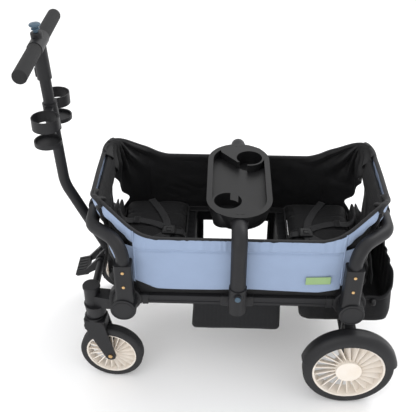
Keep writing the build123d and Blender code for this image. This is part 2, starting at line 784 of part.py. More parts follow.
def make_fork(side):
    """Twin-blade fork with its thrust disc and the stem that turns in the post's bearings."""
    ground = caster_frame(side)
    with BuildPart() as fork:
        with BuildSketch(ground.offset(FRONT_R * 2 + 6)):
            with Locations((4, 0)):
                RectangleRounded(70, 61, 12)
        extrude(amount=38)
        with BuildSketch(ground.offset(FRONT_R * 2 + 44)):
            Circle(POST_R + 6)
        extrude(amount=7)
        with BuildSketch(ground.offset(FRONT_R * 2 + 40)):
            Circle(STEM_R)
        extrude(amount=POST_TOP - 3 - (FRONT_R * 2 + 40))
        for out in (FRONT_WIDTH / 2 + 4.5, -FRONT_WIDTH / 2 - 10.5):
            with BuildSketch(caster_side(side, out)):
                with Locations((TRAIL, FRONT_R)):
                    Circle(18)
                with Locations((-9, FRONT_R * 2 + 24)):
                    Circle(20)
                with Locations((19, FRONT_R * 2 + 24)):
                    Circle(19)
                make_hull()
            extrude(amount=6)
            with BuildSketch(caster_side(side, out)):
                with Locations((TRAIL, FRONT_R)):
                    Circle(4)
            extrude(amount=6, mode=Mode.SUBTRACT)
    return fork


def make_front_axle(side):
    """Bolt through a fork's blades, with a washer head at each end."""
    half = FRONT_WIDTH / 2 + 10.5
    plane = wheel_plane(side, True)
    with BuildPart() as axle:
        with BuildSketch(plane):
            Circle(4)
        extrude(amount=half, both=True)
        with BuildSketch(plane.offset(half)):
            Circle(7)
        extrude(amount=3)
        with BuildSketch(plane.offset(-half)):
            Circle(7)
        extrude(amount=-3)
    return axle


def make_tyre(plane, radius, rim_radius, width, rounding, grooves):
    """Foam tyre: a rounded ring with shallow grooves around its tread."""
    with BuildPart() as tyre:
        with BuildSketch(plane):
            Circle(radius)
        extrude(amount=width / 2, both=True)
        fillet(edges().filter_by(GeomType.CIRCLE), rounding)
        with BuildSketch(plane):
            Circle(rim_radius)
        extrude(amount=width, both=True, mode=Mode.SUBTRACT)
        for across in grooves:
            with BuildSketch(plane.offset(across - 1)):
                Circle(radius + 5)
                Circle(radius - 1.6, mode=Mode.SUBTRACT)
            extrude(amount=2, mode=Mode.SUBTRACT)
    return tyre


def make_rim(plane, rim_radius, ring, hub_radius, hub_half, width, fins, bore, bore_depth, lean):
    """Wheel rim: an outer ring, a hub and slanted vanes like a turbine's between them."""
    reach = rim_radius - ring - hub_radius + 4
    with BuildPart() as rim:
        with BuildSketch(plane):
            Circle(rim_radius)
            Circle(rim_radius - ring, mode=Mode.SUBTRACT)
        extrude(amount=width / 2, both=True)
        with BuildSketch(plane):
            Circle(hub_radius)
        extrude(amount=hub_half, both=True)
        with Locations(Location(plane)):
            with PolarLocations(hub_radius + reach / 2 - 2, fins):
                Box(reach, 3, width * 0.72, rotation=(lean, 0, 0))
        with BuildSketch(plane.offset(-width)):
            Circle(bore + FIT)
        extrude(amount=width + bore_depth, mode=Mode.SUBTRACT)
    return rim


for side in ("left", "right"):
    save(make_fork(side), "caster_fork_" + side)
    save(make_front_axle(side), "front_axle_" + side)
    front = wheel_plane(side, True)
    rear = wheel_plane(side, False)
    save(make_tyre(front, FRONT_R, FRONT_RIM_R, FRONT_WIDTH, 10, (-8, 0, 8)), "front_tyre_" + side)
    save(make_tyre(rear, REAR_R, REAR_RIM_R, REAR_WIDTH, 14, (-10, 10)), "rear_tyre_" + side)
    save(make_rim(front, FRONT_RIM_R, 5, 17, FRONT_WIDTH / 2 + 2, FRONT_WIDTH - 4, 20, 4, 40, 28),
         "front_rim_" + side)
    save(make_rim(rear, REAR_RIM_R, 6, 41, REAR_WIDTH / 2, REAR_WIDTH - 2, 22, AXLE_R,
                  REAR_WIDTH / 2 - 7, 30), "rear_rim_" + side)
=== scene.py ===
"""Kids pull wagon: the fabric tub, the finishes and a plain studio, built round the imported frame.

Run as a script, it registers its panel and operators, makes every piece in order and
hands the result to the frame. Lengths are in metres, colours are linear.
"""

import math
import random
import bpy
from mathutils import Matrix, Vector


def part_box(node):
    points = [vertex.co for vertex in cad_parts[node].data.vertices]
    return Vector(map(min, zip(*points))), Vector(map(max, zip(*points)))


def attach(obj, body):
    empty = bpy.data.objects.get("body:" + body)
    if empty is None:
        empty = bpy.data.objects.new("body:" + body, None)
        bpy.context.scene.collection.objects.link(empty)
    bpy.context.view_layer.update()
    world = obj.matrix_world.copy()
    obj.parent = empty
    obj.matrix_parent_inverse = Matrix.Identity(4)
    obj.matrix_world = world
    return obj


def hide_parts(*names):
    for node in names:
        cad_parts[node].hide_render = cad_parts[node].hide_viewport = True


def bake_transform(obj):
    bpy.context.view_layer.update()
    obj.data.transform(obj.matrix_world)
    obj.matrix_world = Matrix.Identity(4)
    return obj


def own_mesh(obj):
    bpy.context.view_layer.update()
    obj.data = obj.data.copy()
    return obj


bl_info = {
    "name": "Pull Wagon Fabrics and Finishes",
    "version": (1, 0, 0),
    "blender": (4, 5, 0),
    "location": "View3D > Sidebar > Wagon",
    "description": "Sews the tub, seats and bags of a folding pull wagon and paints its frame",
    "category": "Object",
}

import bmesh
import bpy
from bpy.props import FloatProperty, FloatVectorProperty, IntProperty, PointerProperty
from mathutils import Matrix, Vector, noise

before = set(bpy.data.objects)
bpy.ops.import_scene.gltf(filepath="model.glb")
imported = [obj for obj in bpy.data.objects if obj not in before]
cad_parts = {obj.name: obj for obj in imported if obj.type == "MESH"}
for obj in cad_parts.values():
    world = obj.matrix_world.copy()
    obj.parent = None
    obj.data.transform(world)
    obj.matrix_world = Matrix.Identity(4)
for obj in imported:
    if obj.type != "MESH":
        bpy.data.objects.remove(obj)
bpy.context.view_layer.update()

LEFT, RIGHT = -1, 1  # the sides of the wagon, as signs of y
FRONT, REAR = -1, 1  # its ends, as signs of x; the pull handle is at the front
SIDE_NAMES = {LEFT: "left", RIGHT: "right"}
END_NAMES = {FRONT: "front", REAR: "rear"}
BOTH_SIDES = (LEFT, RIGHT)
BOTH_ENDS = (FRONT, REAR)

wall_low, wall_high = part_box("side_wall_right")
bar_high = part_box("rear_hoop_tube")[1]
band_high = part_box("rear_end_band")[1]
strap_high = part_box("rear_hoop_straps")[1]

WALL_Y = wall_low.y  # inner face of a side wall
FLOOR_Z = wall_low.z  # where the tub stands on the rails
UP = Vector((0, 0, 1))
BAR_R = 0.0205  # a hoop's tube
BAR_X = bar_high.x - BAR_R
BAR_Z = bar_high.z - BAR_R
STRAP_Y = strap_high.y - 0.018

WORLD_LIGHT = 1.14
LAMPS = (  # name, place, size, power
    ("key_light", (1.9, 1.5, 2.9), 2.0, 46.0),
    ("fill_light", (-1.4, -2.4, 2.4), 2.4, 22.0),
)
EYE = Vector((-0.0588, -1.9020, 1.8867))
EYE_TURN = (35.184, -1.163, 0.4745)  # degrees down from level, towards the rear, and tilted
EYE_LENS = 62.187  # millimetres, on a sensor 36 mm wide


# ------------------------------ sizes and colours ------------------------------


def length(name, description, default):
    return FloatProperty(name=name, description=description, default=default,
                         unit="LENGTH", subtype="DISTANCE", precision=4)


def colour(name, description, default):
    return FloatVectorProperty(name=name, description=description, default=default,
                               size=3, subtype="COLOR", min=0.0, max=1.0)


class WagonSizes(bpy.types.PropertyGroup):
    """Sizes of the sewn pieces"""

    cloth: length("Cloth", "Thickness of the outer and lining cloth", 0.0013)
    rim: length("Rim height", "Top of the side walls at mid length", wall_high.z - 0.014)
    corner: length("Corner height", "Top of the tub at its four corners", band_high.z + 0.014)
    binding: length("Binding", "Width of the tape over the rim", 0.0095)
    facing: length("Facing", "Depth of the puckered band under the rim", 0.037)
    fold: length("Fold depth", "Depth of the lining's folds at the corners", 0.0080)
    webbing: length("Webbing", "Width of the harness webbing", 0.028)
    voxel: length("Remesh size", "Voxel size of the padded pieces", 0.005)
    seat_cap: length("Seat swell", "Most that a seat pad may swell", 0.007)
    band_cap: length("Band swell", "Most that an end band may swell", 0.005)
    steps: IntProperty(name="Steps", description="Frames of cloth simulation", default=20)


class WagonColours(bpy.types.PropertyGroup):
    """Colours of the finishes"""

    blue: colour("Outer cloth", "Woven cloth of the outer panels", (0.268, 0.340, 0.480))
    black: colour("Lining", "Lining and padding cloth", (0.0028, 0.0028, 0.0034))
    navy: colour("Basket cloth", "Cloth of the basket and footwell", (0.0040, 0.0042, 0.0052))
    paint: colour("Frame", "Powder coat of the tubes", (0.0120, 0.0120, 0.0135))
    plastic: colour("Mouldings", "Moulded joints, fork and fenders", (0.0105, 0.0105, 0.0118))
    tray: colour("Tray", "Moulded tray", (0.0070, 0.0070, 0.0076))
    rim: colour("Rims", "Moulded wheel rims", (0.800, 0.745, 0.680))
    tyre: colour("Tyres", "Foam tyres", (0.0170, 0.0170, 0.0182))
    gold: colour("Rivets", "Gilt rivets and bolts", (0.640, 0.420, 0.200))
    steel: colour("Bolts", "Plated bolts and axles", (0.420, 0.430, 0.450))
    button: colour("Buttons", "Slate blue press buttons", (0.050, 0.085, 0.120))
    grip: colour("Grips", "Foam grips", (0.0115, 0.0115, 0.0122))
    tag: colour("Tag", "Woven tag on the side panel", (0.270, 0.400, 0.190))


# ------------------------------ shader helpers ------------------------------


class Value:
    """A shader socket that Python's signs work on."""

    def __init__(self, board, socket):
        self.board = board
        self.socket = socket

    def math(self, operation, *others):
        inputs = dict(enumerate((self, *others)))
        return self.board.add("Math", {"operation": operation}, inputs)

    def __add__(self, other):
        return self.math("ADD", other)

    def __mul__(self, other):
        return self.math("MULTIPLY", other)

    def __sub__(self, other):
        return self.math("SUBTRACT", other)

    def __rsub__(self, other):
        return self.board.add("Math", {"operation": "SUBTRACT"}, {0: other, 1: self})

    __radd__ = __add__
    __rmul__ = __mul__

    def sine(self):
        return self.math("SINE")

    def between(self, low, high):
        """0 below low, 1 above high, a straight ramp in between."""
        settings = {"clamp": True}
        return self.board.add("MapRange", settings, {0: self, 1: low, 2: high, 3: 0.0, 4: 1.0})


class Finish:
    """A material and the nodes that make it."""

    def __init__(self, name, base, rough, metal=0.0):
        self.material = bpy.data.materials.new(name)
        self.material.use_nodes = True
        self.tree = self.material.node_tree
        self.shader = self.tree.nodes["Principled BSDF"]
        self.base = (*base, 1.0)
        self.shader.inputs["Base Color"].default_value = self.base
        self.shader.inputs["Roughness"].default_value = rough
        self.shader.inputs["Metallic"].default_value = metal

    def add(self, kind, settings=None, inputs=None, out=0):
        node = self.tree.nodes.new("ShaderNode" + kind)
        for key, value in (settings or {}).items():
            setattr(node, key, value)
        for key, value in (inputs or {}).items():
            self.feed(node.inputs[key], value)
        return Value(self, node.outputs[out])

    def feed(self, socket, value):
        if isinstance(value, Value):
            self.tree.links.new(value.socket, socket)
        else:
            socket.default_value = value

    def set(self, **values):
        """Sets the shader's own sockets: names have spaces for underscores."""
        for name, value in values.items():
            self.feed(self.shader.inputs[name.replace("_", " ").title().replace("Ior", "IOR")], value)
        return self

    def object_point(self):
        return self.add("TexCoord", out=3)

    def cloth_point(self):
        return self.add("TexCoord", out=2)

    def parts(self, vector):
        node = self.tree.nodes.new("ShaderNodeSeparateXYZ")
        self.tree.links.new(vector.socket, node.inputs[0])
        return [Value(self, socket) for socket in node.outputs]

    def stretched(self, vector, scale):
        return self.add("Mapping", {}, {"Vector": vector, "Scale": scale})

    def grain(self, vector, scale, detail=2.0, rough=0.5):
        inputs = {"Vector": vector, "Scale": scale, "Detail": detail, "Roughness": rough}
        return self.add("TexNoise", {}, inputs)

    def mixed(self, factor, first, second):
        return self.add("Mix", {"data_type": "RGBA"}, {0: factor, 6: first, 7: second}, out=2)

    def tint(self, factor, amount, other=None):
        """The base colour, with the other one, or a brighter one, mixed in by factor."""
        bright = other or tuple(min(1.0, c * amount) for c in self.base[:3])
        return self.mixed(factor, self.base, (*bright[:3], 1.0))

    def bump(self, height, distance, strength=1.0, under=None):
        inputs = {"Height": height, "Distance": distance, "Strength": strength}
        if under:
            inputs["Normal"] = under
        return self.add("Bump", {}, inputs)


def woven(name, base, thread=0.0011, rough=0.85, sheen=0.25, on_object=False, crease=0.0006,
          mottle=1.16, ribs=False, gloss=0.3):
    """Cloth: crossed threads, slubs, a little mottling and soft creases."""
    cloth = Finish(name, base, rough)
    place = cloth.object_point()
    point = place if on_object else cloth.cloth_point()
    turn = 2 * math.pi / thread
    x, y, z = cloth.parts(point)
    if on_object:
        across, along = x + y, z + y * 0.37
    else:
        across, along = x, y
    warp = (across * turn).sine()
    weft = (along * turn).sine()
    threads = warp if ribs else warp * weft
    slub_across = cloth.grain(cloth.stretched(point, (60.0, 1400.0, 1400.0)), 1.0, 1.0)
    slub_along = cloth.grain(cloth.stretched(point, (1400.0, 60.0, 60.0)), 1.0, 1.0)
    slubs = slub_across * 0.5 + slub_along * 0.5
    patches = cloth.grain(place, 16.0, 3.0)
    shade = patches.between(0.3, 0.7) * 0.45 + slubs.between(0.35, 0.65) * 0.4 + threads * 0.1
    fine = cloth.bump(threads * 0.5 + slubs, thread * 0.22, 0.6)
    creased = cloth.bump(cloth.grain(place, 34.0, 3.0), crease, 0.7, fine)
    cloth.set(base_color=cloth.tint(shade, mottle), normal=creased,
              roughness=slubs.between(0.2, 0.8) * 0.12 + (rough - 0.06))
    cloth.set(sheen_weight=sheen, sheen_roughness=0.45, specular_ior_level=gloss)
    cloth.shader.inputs["Sheen Tint"].default_value = (*(min(1.0, c * 3 + 0.2) for c in base), 1.0)
    return cloth.material


def powder_coat(name, base):
    """Matt baked paint: orange peel, fine sparkle in the gloss, and rubbed patches."""
    paint = Finish(name, base, 0.5)
    place = paint.object_point()
    peel = paint.grain(place, 900.0, 2.0)
    wide = paint.grain(place, 7.0, 3.0)
    dust = paint.grain(place, 60.0, 4.0, 0.7)
    paint.set(base_color=paint.tint(wide.between(0.35, 0.7) * 0.6 + dust * 0.25, 1.35),
              roughness=wide * 0.14 + dust * 0.06 + 0.40,
              normal=paint.bump(peel, 0.00016, 0.6))
    paint.set(specular_ior_level=0.26)
    return paint.material


def moulding(name, base, rough=0.46, stipple=1500.0, depth=0.00012, wide_shift=1.3):
    """Moulded plastic: fine stipple with slow changes of gloss and colour."""
    plastic = Finish(name, base, rough)
    place = plastic.object_point()
    wide = plastic.grain(place, 9.0, 3.0)
    fine = plastic.grain(place, stipple, 1.0)
    scuffs = plastic.grain(plastic.stretched(place, (40.0, 40.0, 260.0)), 1.0, 3.0, 0.65)
    marks = scuffs.between(0.60, 0.74)
    plastic.set(base_color=plastic.tint(wide.between(0.35, 0.7) * 0.5 + marks * 0.2, wide_shift),
                roughness=wide * 0.12 + marks * 0.06 + (rough - 0.06),
                normal=plastic.bump(fine, depth, 0.55))
    plastic.set(specular_ior_level=0.3)
    return plastic.material


def metal(name, base, rough=0.28):
    """Plated metal: fine turned lines and a few dull spots."""
    plated = Finish(name, base, rough, 1.0)
    place = plated.object_point()
    lines = plated.grain(plated.stretched(place, (2600.0, 160.0, 2600.0)), 1.0, 2.0)
    spots = plated.grain(place, 180.0, 3.0).between(0.52, 0.72)
    plated.set(base_color=plated.tint(spots * 0.5, 0.7),
               roughness=lines * 0.16 + spots * 0.2 + (rough - 0.08),
               normal=plated.bump(lines, 0.00006, 0.5))
    return plated.material


def foam_rubber(name, base, rough=0.74, cells=520.0):
    """Foamed rubber: open cells, paler where it is worn and dusty."""
    foam = Finish(name, base, rough)
    place = foam.object_point()
    cell = foam.add("TexVoronoi", {"feature": "F1"}, {"Vector": place, "Scale": cells})
    dust = foam.grain(place, 26.0, 4.0, 0.65)
    wear = foam.grain(place, 5.0, 2.0)
    foam.set(base_color=foam.tint(dust.between(0.4, 0.75) * 0.6 + wear * 0.25, 1.7),
             roughness=dust * 0.16 + (rough - 0.08),
             normal=foam.bump(cell, 0.00028, 0.6))
    foam.set(specular_ior_level=0.35)
    return foam.material


def cream_moulding(name, base):
    """Cream satin plastic, mixed with a darker, warmer cream in random patches that change fastest along
    the axle: painted shade, standing for the brown shade deep between the fins.
    """
    cream = Finish(name, base, 0.48)
    place = cream.object_point()
    wide = cream.grain(place, 12.0, 3.0)
    shade_streaks = cream.grain(cream.stretched(place, (30.0, 120.0, 30.0)), 1.0, 3.0)
    fine = cream.grain(place, 1300.0, 1.0)
    # A darker, warmer cream: painted shade, for the brown shade deep between the rim's fins.
    painted_warm_shade = tuple(c * k for c, k in zip(base, (0.90, 0.83, 0.74)))
    # Where the painted shade goes: random patches, and streaks that change fastest along the axle.
    painted_shade_mask = wide.between(0.35, 0.75) * 0.4 + shade_streaks.between(0.5, 0.8) * 0.25
    cream.set(base_color=cream.tint(painted_shade_mask, 1, painted_warm_shade),
              roughness=wide * 0.12 + 0.42, normal=cream.bump(fine, 0.0001, 0.5))
    cream.set(specular_ior_level=0.4)
    return cream.material


def fresh_finishes(colours):
    """Every finish by the name of the slot it fills, and the sewn ones by their own names."""
    return {
        "frame_paint": powder_coat("frame_powder_coat", colours.paint),
        "moulded_plastic": moulding("moulded_joints", colours.plastic),
        "tray_plastic": moulding("tray_moulding", colours.tray, 0.36, 700.0, 0.0001, 1.2),
        "gold_steel": metal("gilt_rivets", colours.gold, 0.3),
        "bolt_steel": metal("plated_bolts", colours.steel, 0.3),
        "blue_plastic": moulding("slate_blue_buttons", colours.button, 0.34, 900.0, 0.00006),
        "tyre_foam": foam_rubber("foam_tyres", colours.tyre),
        "cream_rim": cream_moulding("cream_rims", colours.rim),
        "grip_foam": foam_rubber("foam_grips", colours.grip, 0.8, 700.0),
        "blue_fabric": woven("outer_cloth", colours.blue, 0.0011, 0.86, 0.12, mottle=1.10),
        "black_fabric": woven("lining_cloth", colours.black, 0.0008, 0.62, 0.22, mottle=1.9,
                              gloss=0.36, crease=0.0009),
        "pad_cloth": woven("pad_cloth", colours.black, 0.0012, 0.78, 0.16, on_object=True, mottle=1.8),
        "bag_cloth": woven("bag_cloth", colours.navy, 0.0010, 0.74, 0.18, mottle=1.7),
        "webbing": woven("webbing", (0.012, 0.012, 0.013), 0.0016, 0.7, 0.3, mottle=1.9, ribs=True),
        "tape": woven("binding_tape", (0.010, 0.010, 0.011), 0.0009, 0.68, 0.3, mottle=1.7, ribs=True),
        "tag_cloth": woven("tag_cloth", colours.tag, 0.0008, 0.8, 0.15, mottle=1.15),
        "thread_blue": woven("blue_thread", tuple(c * 0.85 for c in colours.blue), 0.0004, 0.8, 0.1,
                             on_object=True),
        "buckle": moulding("buckle_moulding", (0.014, 0.014, 0.015), 0.38, 1200.0, 0.00008),
    }


# ------------------------------ mesh helpers ------------------------------


def smoothstep(value, low, high):
    t = min(1.0, max(0.0, (value - low) / (high - low)))
    return t * t * (3 - 2 * t)


def bell(value, centre, width):
    return math.exp(-(((value - centre) / width) ** 2))


def along(points, distance):
    """The point at this distance along straight runs, and past the last one in its line."""
    for start, end in zip(points, points[1:]):
        run = (end - start).length
        if distance <= run or end is points[-1]:
            return start.lerp(end, distance / run)
        distance -= run


def softly(points, distance, reach):
    """The same with each corner rounded over reach to either side."""
    half = 6
    total = sum((along(points, distance + reach * k / half) for k in range(-half, half + 1)),
                points[0] * 0)
    return total / (2 * half + 1)


def run_length(points):
    return sum((b - a).length for a, b in zip(points, points[1:]))


def keep(name, mesh, finish, body=None, slot=None):
    """Puts a finished mesh in the scene, with its material, on its body."""
    obj = bpy.data.objects.new(name, mesh)
    bpy.context.scene.collection.objects.link(obj)
    mesh.materials.clear()
    mesh.materials.append(finishes[finish])
    for face in mesh.polygons:
        face.use_smooth = True
    if body:
        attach(obj, body)
    return obj


def as_mesh(name, bm):
    mesh = bpy.data.meshes.new(name)
    bm.to_mesh(mesh)
    bm.free()
    return mesh


def sheet_mesh(name, wide, tall, size, place):
    """A grid of wide by tall squares, cut to size, with place(u, w) giving each corner's point."""
    bm = bmesh.new()
    uv = bm.loops.layers.uv.new("cloth")
    bmesh.ops.create_grid(bm, x_segments=wide, y_segments=tall, size=0.5)
    for face in bm.faces:
        for loop in face.loops:
            co = loop.vert.co
            loop[uv].uv = ((co.x + 0.5) * size[0], (co.y + 0.5) * size[1])
    for vert in bm.verts:
        vert.co = place(vert.co.x + 0.5, vert.co.y + 0.5)
    return as_mesh(name, bm)


def thicken(obj, thickness):
    modifier = obj.modifiers.new("thickness", "SOLIDIFY")
    modifier.thickness = thickness
    modifier.offset = 0.0


def skin_mesh(name, rings, loop=False, caps=True):
    """A skin over rings of points: a circle is laid on the first ring and extruded to each next."""
    count = len(rings[0])
    bm = bmesh.new()
    uv = bm.loops.layers.uv.new("cloth")
    bmesh.ops.create_circle(bm, segments=count, radius=1.0)
    bm.verts.ensure_lookup_table()
    place = bm.verts.layers.int.new("place")
    row = bm.verts.layers.int.new("row")
    for index, vert in enumerate(bm.verts):
        vert[place] = index
        vert.co = rings[0][index]
    edges = list(bm.edges)
    first = list(edges)
    for number, ring in enumerate(rings[1:], 1):
        made = bmesh.ops.extrude_edge_only(bm, edges=edges)["geom"]
        for vert in (g for g in made if isinstance(g, bmesh.types.BMVert)):
            vert.co = ring[vert[place]]
            vert[row] = number
        fresh = {g for g in made if isinstance(g, bmesh.types.BMVert)}
        edges = [g for g in made if isinstance(g, bmesh.types.BMEdge) and set(g.verts) <= fresh]
    if loop:
        bmesh.ops.bridge_loops(bm, edges=first + edges)
    around = sum((rings[0][k] - rings[0][k - 1]).length for k in range(count)) / count
    for face in bm.faces:
        wraps = {v[place] for v in face.verts} >= {0, count - 1}
        for corner in face.loops:
            index = corner.vert[place]
            if wraps and index == 0:
                index = count
            step = (rings[1][0] - rings[0][0]).length if len(rings) > 1 else around
            corner[uv].uv = (index * around, corner.vert[row] * step)
    if caps and not loop:
        for ends in (first, edges):
            bmesh.ops.edgeloop_fill(bm, edges=ends)
    bmesh.ops.recalc_face_normals(bm, faces=bm.faces[:])
    return as_mesh(name, bm)


def oval(width, height, count=12, power=1.0):
    """A ring about the origin in its own plane; a power under 1 squares it."""
    ring = []
    for k in range(count):
        c, s = math.cos(2 * math.pi * k / count), math.sin(2 * math.pi * k / count)
        ring.append((math.copysign(abs(c) ** power, c) * width / 2,
                     math.copysign(abs(s) ** power, s) * height / 2))
    return ring


def swept_rings(points, outline, upright, loop=False):
    """The outline carried along the points: its first axis lies across, its second along upright."""
    rings = []
    last = len(points) - 1
    for k, point in enumerate(points):
        before = points[k - 1] if k or loop else point
        after = points[(k + 1) % (last + 1)] if k < last or loop else point
        ahead = (after - before).normalized()
        lift = upright(k) if callable(upright) else upright
        across = ahead.cross(lift).normalized()
        up = across.cross(ahead).normalized()
        rings.append([point + across * a + up * b for a, b in outline])
    return rings


def swept(name, points, outline, upright, finish, body=None, loop=False, slot=None):
    mesh = skin_mesh(name, swept_rings(points, outline, upright, loop), loop)
    return keep(name, mesh, finish, body, slot)


def rounded_ring(centre, half_x, half_y, radius, count):
    """Points round a rectangle with round corners, evenly spaced, at centre."""
    corners = [Vector((sx * half_x, sy * half_y, 0)) for sx, sy in ((1, -1), (1, 1), (-1, 1), (-1, -1))]
    route = [corners[3].lerp(corners[0], 0.5), *corners, corners[3].lerp(corners[0], 0.5)]
    total = run_length(route)
    ring = []
    for k in range(count):
        ring.append(centre + softly(route, total * k / count, radius) if k else centre + route[0])
    return ring


def open_bag(name, centre, half_x, half_y, deep, radius, levels, rows, count):
    """A bag open at its top: rings that run out over its floor from centre, then up its wall."""
    turn = levels[-1][1]
    levels = levels + [(1.0, turn + (1 - turn) * k / rows) for k in range(1, rows + 1)]
    rings = [rounded_ring(centre + UP * (deep * share), half_x * scale, half_y * scale, radius, count)
             for scale, share in levels]
    bm = bmesh.new()
    bm.from_mesh(skin_mesh(name, rings, caps=False))
    floor = [e for e in bm.edges if e.is_boundary and e.verts[0].co.z < centre.z + 0.02]
    bmesh.ops.edgeloop_fill(bm, edges=floor)
    return bm


def stitch_row(name, points, pitch, finish, body, thick=0.0009):
    """A row of small thread stitches that follows the points."""
    bm = bmesh.new()
    total = run_length(points)
    for k in range(int(total / pitch)):
        at = along(points, (k + 0.5) * pitch)
        ahead = (along(points, (k + 0.9) * pitch) - at).normalized()
        turn = ahead.to_track_quat("X", "Z").to_matrix().to_4x4()
        size = Matrix.Diagonal((pitch * 0.36, thick * 0.5, thick * 0.5, 1.0))
        bmesh.ops.create_icosphere(bm, subdivisions=1, radius=1.0,
                                   matrix=Matrix.Translation(at) @ turn @ size)
    return keep(name, as_mesh(name, bm), finish, body)


def moulded_block(name, centre, size, bevel, finish, body, turn=None, dish=0.0):
    """A small moulded block with rounded edges and, if dish is set, a dished face on top."""
    bm = bmesh.new()
    bmesh.ops.create_cube(bm, size=1.0)
    bmesh.ops.scale(bm, vec=Vector(size), verts=bm.verts[:])
    if dish:
        top = max(bm.faces, key=lambda face: face.normal.z)
        bmesh.ops.inset_region(bm, faces=[top], thickness=min(size[:2]) * 0.2, depth=-dish)
    bmesh.ops.bevel(bm, geom=bm.edges[:], offset=bevel, offset_type="OFFSET", segments=3,
                    profile=0.5, affect="EDGES", material=-1)
    matrix = Matrix.Translation(centre) @ (turn or Matrix.Identity(4))
    bmesh.ops.transform(bm, matrix=matrix, verts=bm.verts[:])
    bmesh.ops.recalc_face_normals(bm, faces=bm.faces[:])
    return keep(name, as_mesh(name, bm), finish, body)


def swollen(name, mesh, finish, body, cap, shape=None, slot="black_fabric"):
    """A padded piece: the mesh is remeshed, swollen by air pressure as cloth, and capped."""
    sizes = bpy.context.scene.wagon_sizes
    obj = bpy.data.objects.new(name + "_start", mesh)
    bpy.context.scene.collection.objects.link(obj)
    remesh = obj.modifiers.new("remesh", "REMESH")
    remesh.mode = "VOXEL"
    remesh.voxel_size = sizes.voxel
    plain = settled(obj)
    rest = [v.co.copy() for v in plain.vertices]
    air = bpy.data.objects.new(name + "_air", plain)
    bpy.context.scene.collection.objects.link(air)
    cloth = air.modifiers.new("cloth", "CLOTH")
    cloth.settings.use_pressure = True
    cloth.settings.uniform_pressure_force = 4.0
    cloth.settings.effector_weights.gravity = 0.0
    cloth.settings.quality = 4
    for number in range(1, sizes.steps + 1):
        bpy.context.scene.frame_set(number)
    plain = settled(air)
    bpy.context.scene.frame_set(1)
    for vert, start in zip(plain.vertices, rest):
        move = vert.co - start
        if move.length > cap:
            vert.co = start + move.normalized() * cap
    if shape:
        for vert in plain.vertices:
            vert.co = shape(vert.co)
    plain.update()
    piece = keep(name, plain, finish, body, slot)
    rounder = piece.modifiers.new("rounder", "SUBSURF")
    rounder.levels = rounder.render_levels = 1
    return piece


def settled(obj):
    """The mesh that the object's modifiers give, on its own; the object is removed."""
    graph = bpy.context.evaluated_depsgraph_get()
    mesh = bpy.data.meshes.new_from_object(obj.evaluated_get(graph))
    bpy.data.objects.remove(obj)
    return mesh


# ------------------------------ the tub's outline ------------------------------

PANEL_END = 0.311  # along the wall, where the side panel meets the corner piece
TUB_PLAN = [Vector((0, WALL_Y, 0)), Vector((0.308, WALL_Y, 0)), Vector((0.400, 0.189, 0)),
            Vector((0.417, 0.150, 0)), Vector((0.4195, 0.100, 0))]
LEAN_FROM = BAR_Z + 0.018  # above the bars the padded ends lean outwards
LEAN = 0.32
CORNER_AT = 0.425  # along the wall, where the rim is highest


def rim_height(distance):
    """Height of the rim at a distance along the wall from its middle."""
    sizes = bpy.context.scene.wagon_sizes
    away = abs(distance)
    rise = sizes.corner - sizes.rim
    share = 0.22 * smoothstep(away, 0.235, 0.325) + 0.78 * smoothstep(away, 0.275, 0.445)
    return sizes.rim + rise * share


def wall_point(distance, height, side, out=0.0):
    """A point on the tub's wall: distance from the middle towards the rear, height, and offset."""
    away = abs(distance)
    here = softly(TUB_PLAN, away, 0.022)
    step = softly(TUB_PLAN, away + 0.004, 0.022) - here
    outward = Vector((-step.y, step.x, 0)).normalized()
    outward = outward if outward.y > 0 else -outward
    lean = LEAN * max(0.0, height - LEAN_FROM) * smoothstep(away, 0.40, 0.48)
    here = here + outward * (out + lean)
    return Vector((math.copysign(here.x, distance), side * here.y, height))


def squashed(obj):
    """Gives a piece of the tub's walls its own copy of its mesh."""
    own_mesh(obj)
    return obj


def pucker_list(seed, count, reach):
    rng = random.Random(seed)
    return [(rng.uniform(-reach, reach), rng.uniform(0.004, 0.012), rng.uniform(0.5, 1.0))
            for _ in range(count)]


# ------------------------------ operators ------------------------------

finishes = {}


class BothSides:
    """Makes a step's pieces on each side of the wagon"""

    def execute(self, context):
        for side in BOTH_SIDES:
            self.make(side, context.scene.wagon_sizes)
        return {"FINISHED"}


class BothEnds:
    """Makes a step's pieces at each end of the wagon"""

    def execute(self, context):
        for end in BOTH_ENDS:
            self.make(end, context.scene.wagon_sizes)
        return {"FINISHED"}


class WAGON_OT_paint(bpy.types.Operator):
    """Make the finishes and paint the frame, wheels, handle and tray"""

    bl_idname = "wagon.paint"
    bl_label = "Paint the frame"

    def execute(self, context):
        finishes.update(fresh_finishes(context.scene.wagon_colours))
        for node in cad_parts.values():
            for holder in node.material_slots:
                holder.material = finishes[holder.material.name.split(".")[0]]
        return {"FINISHED"}


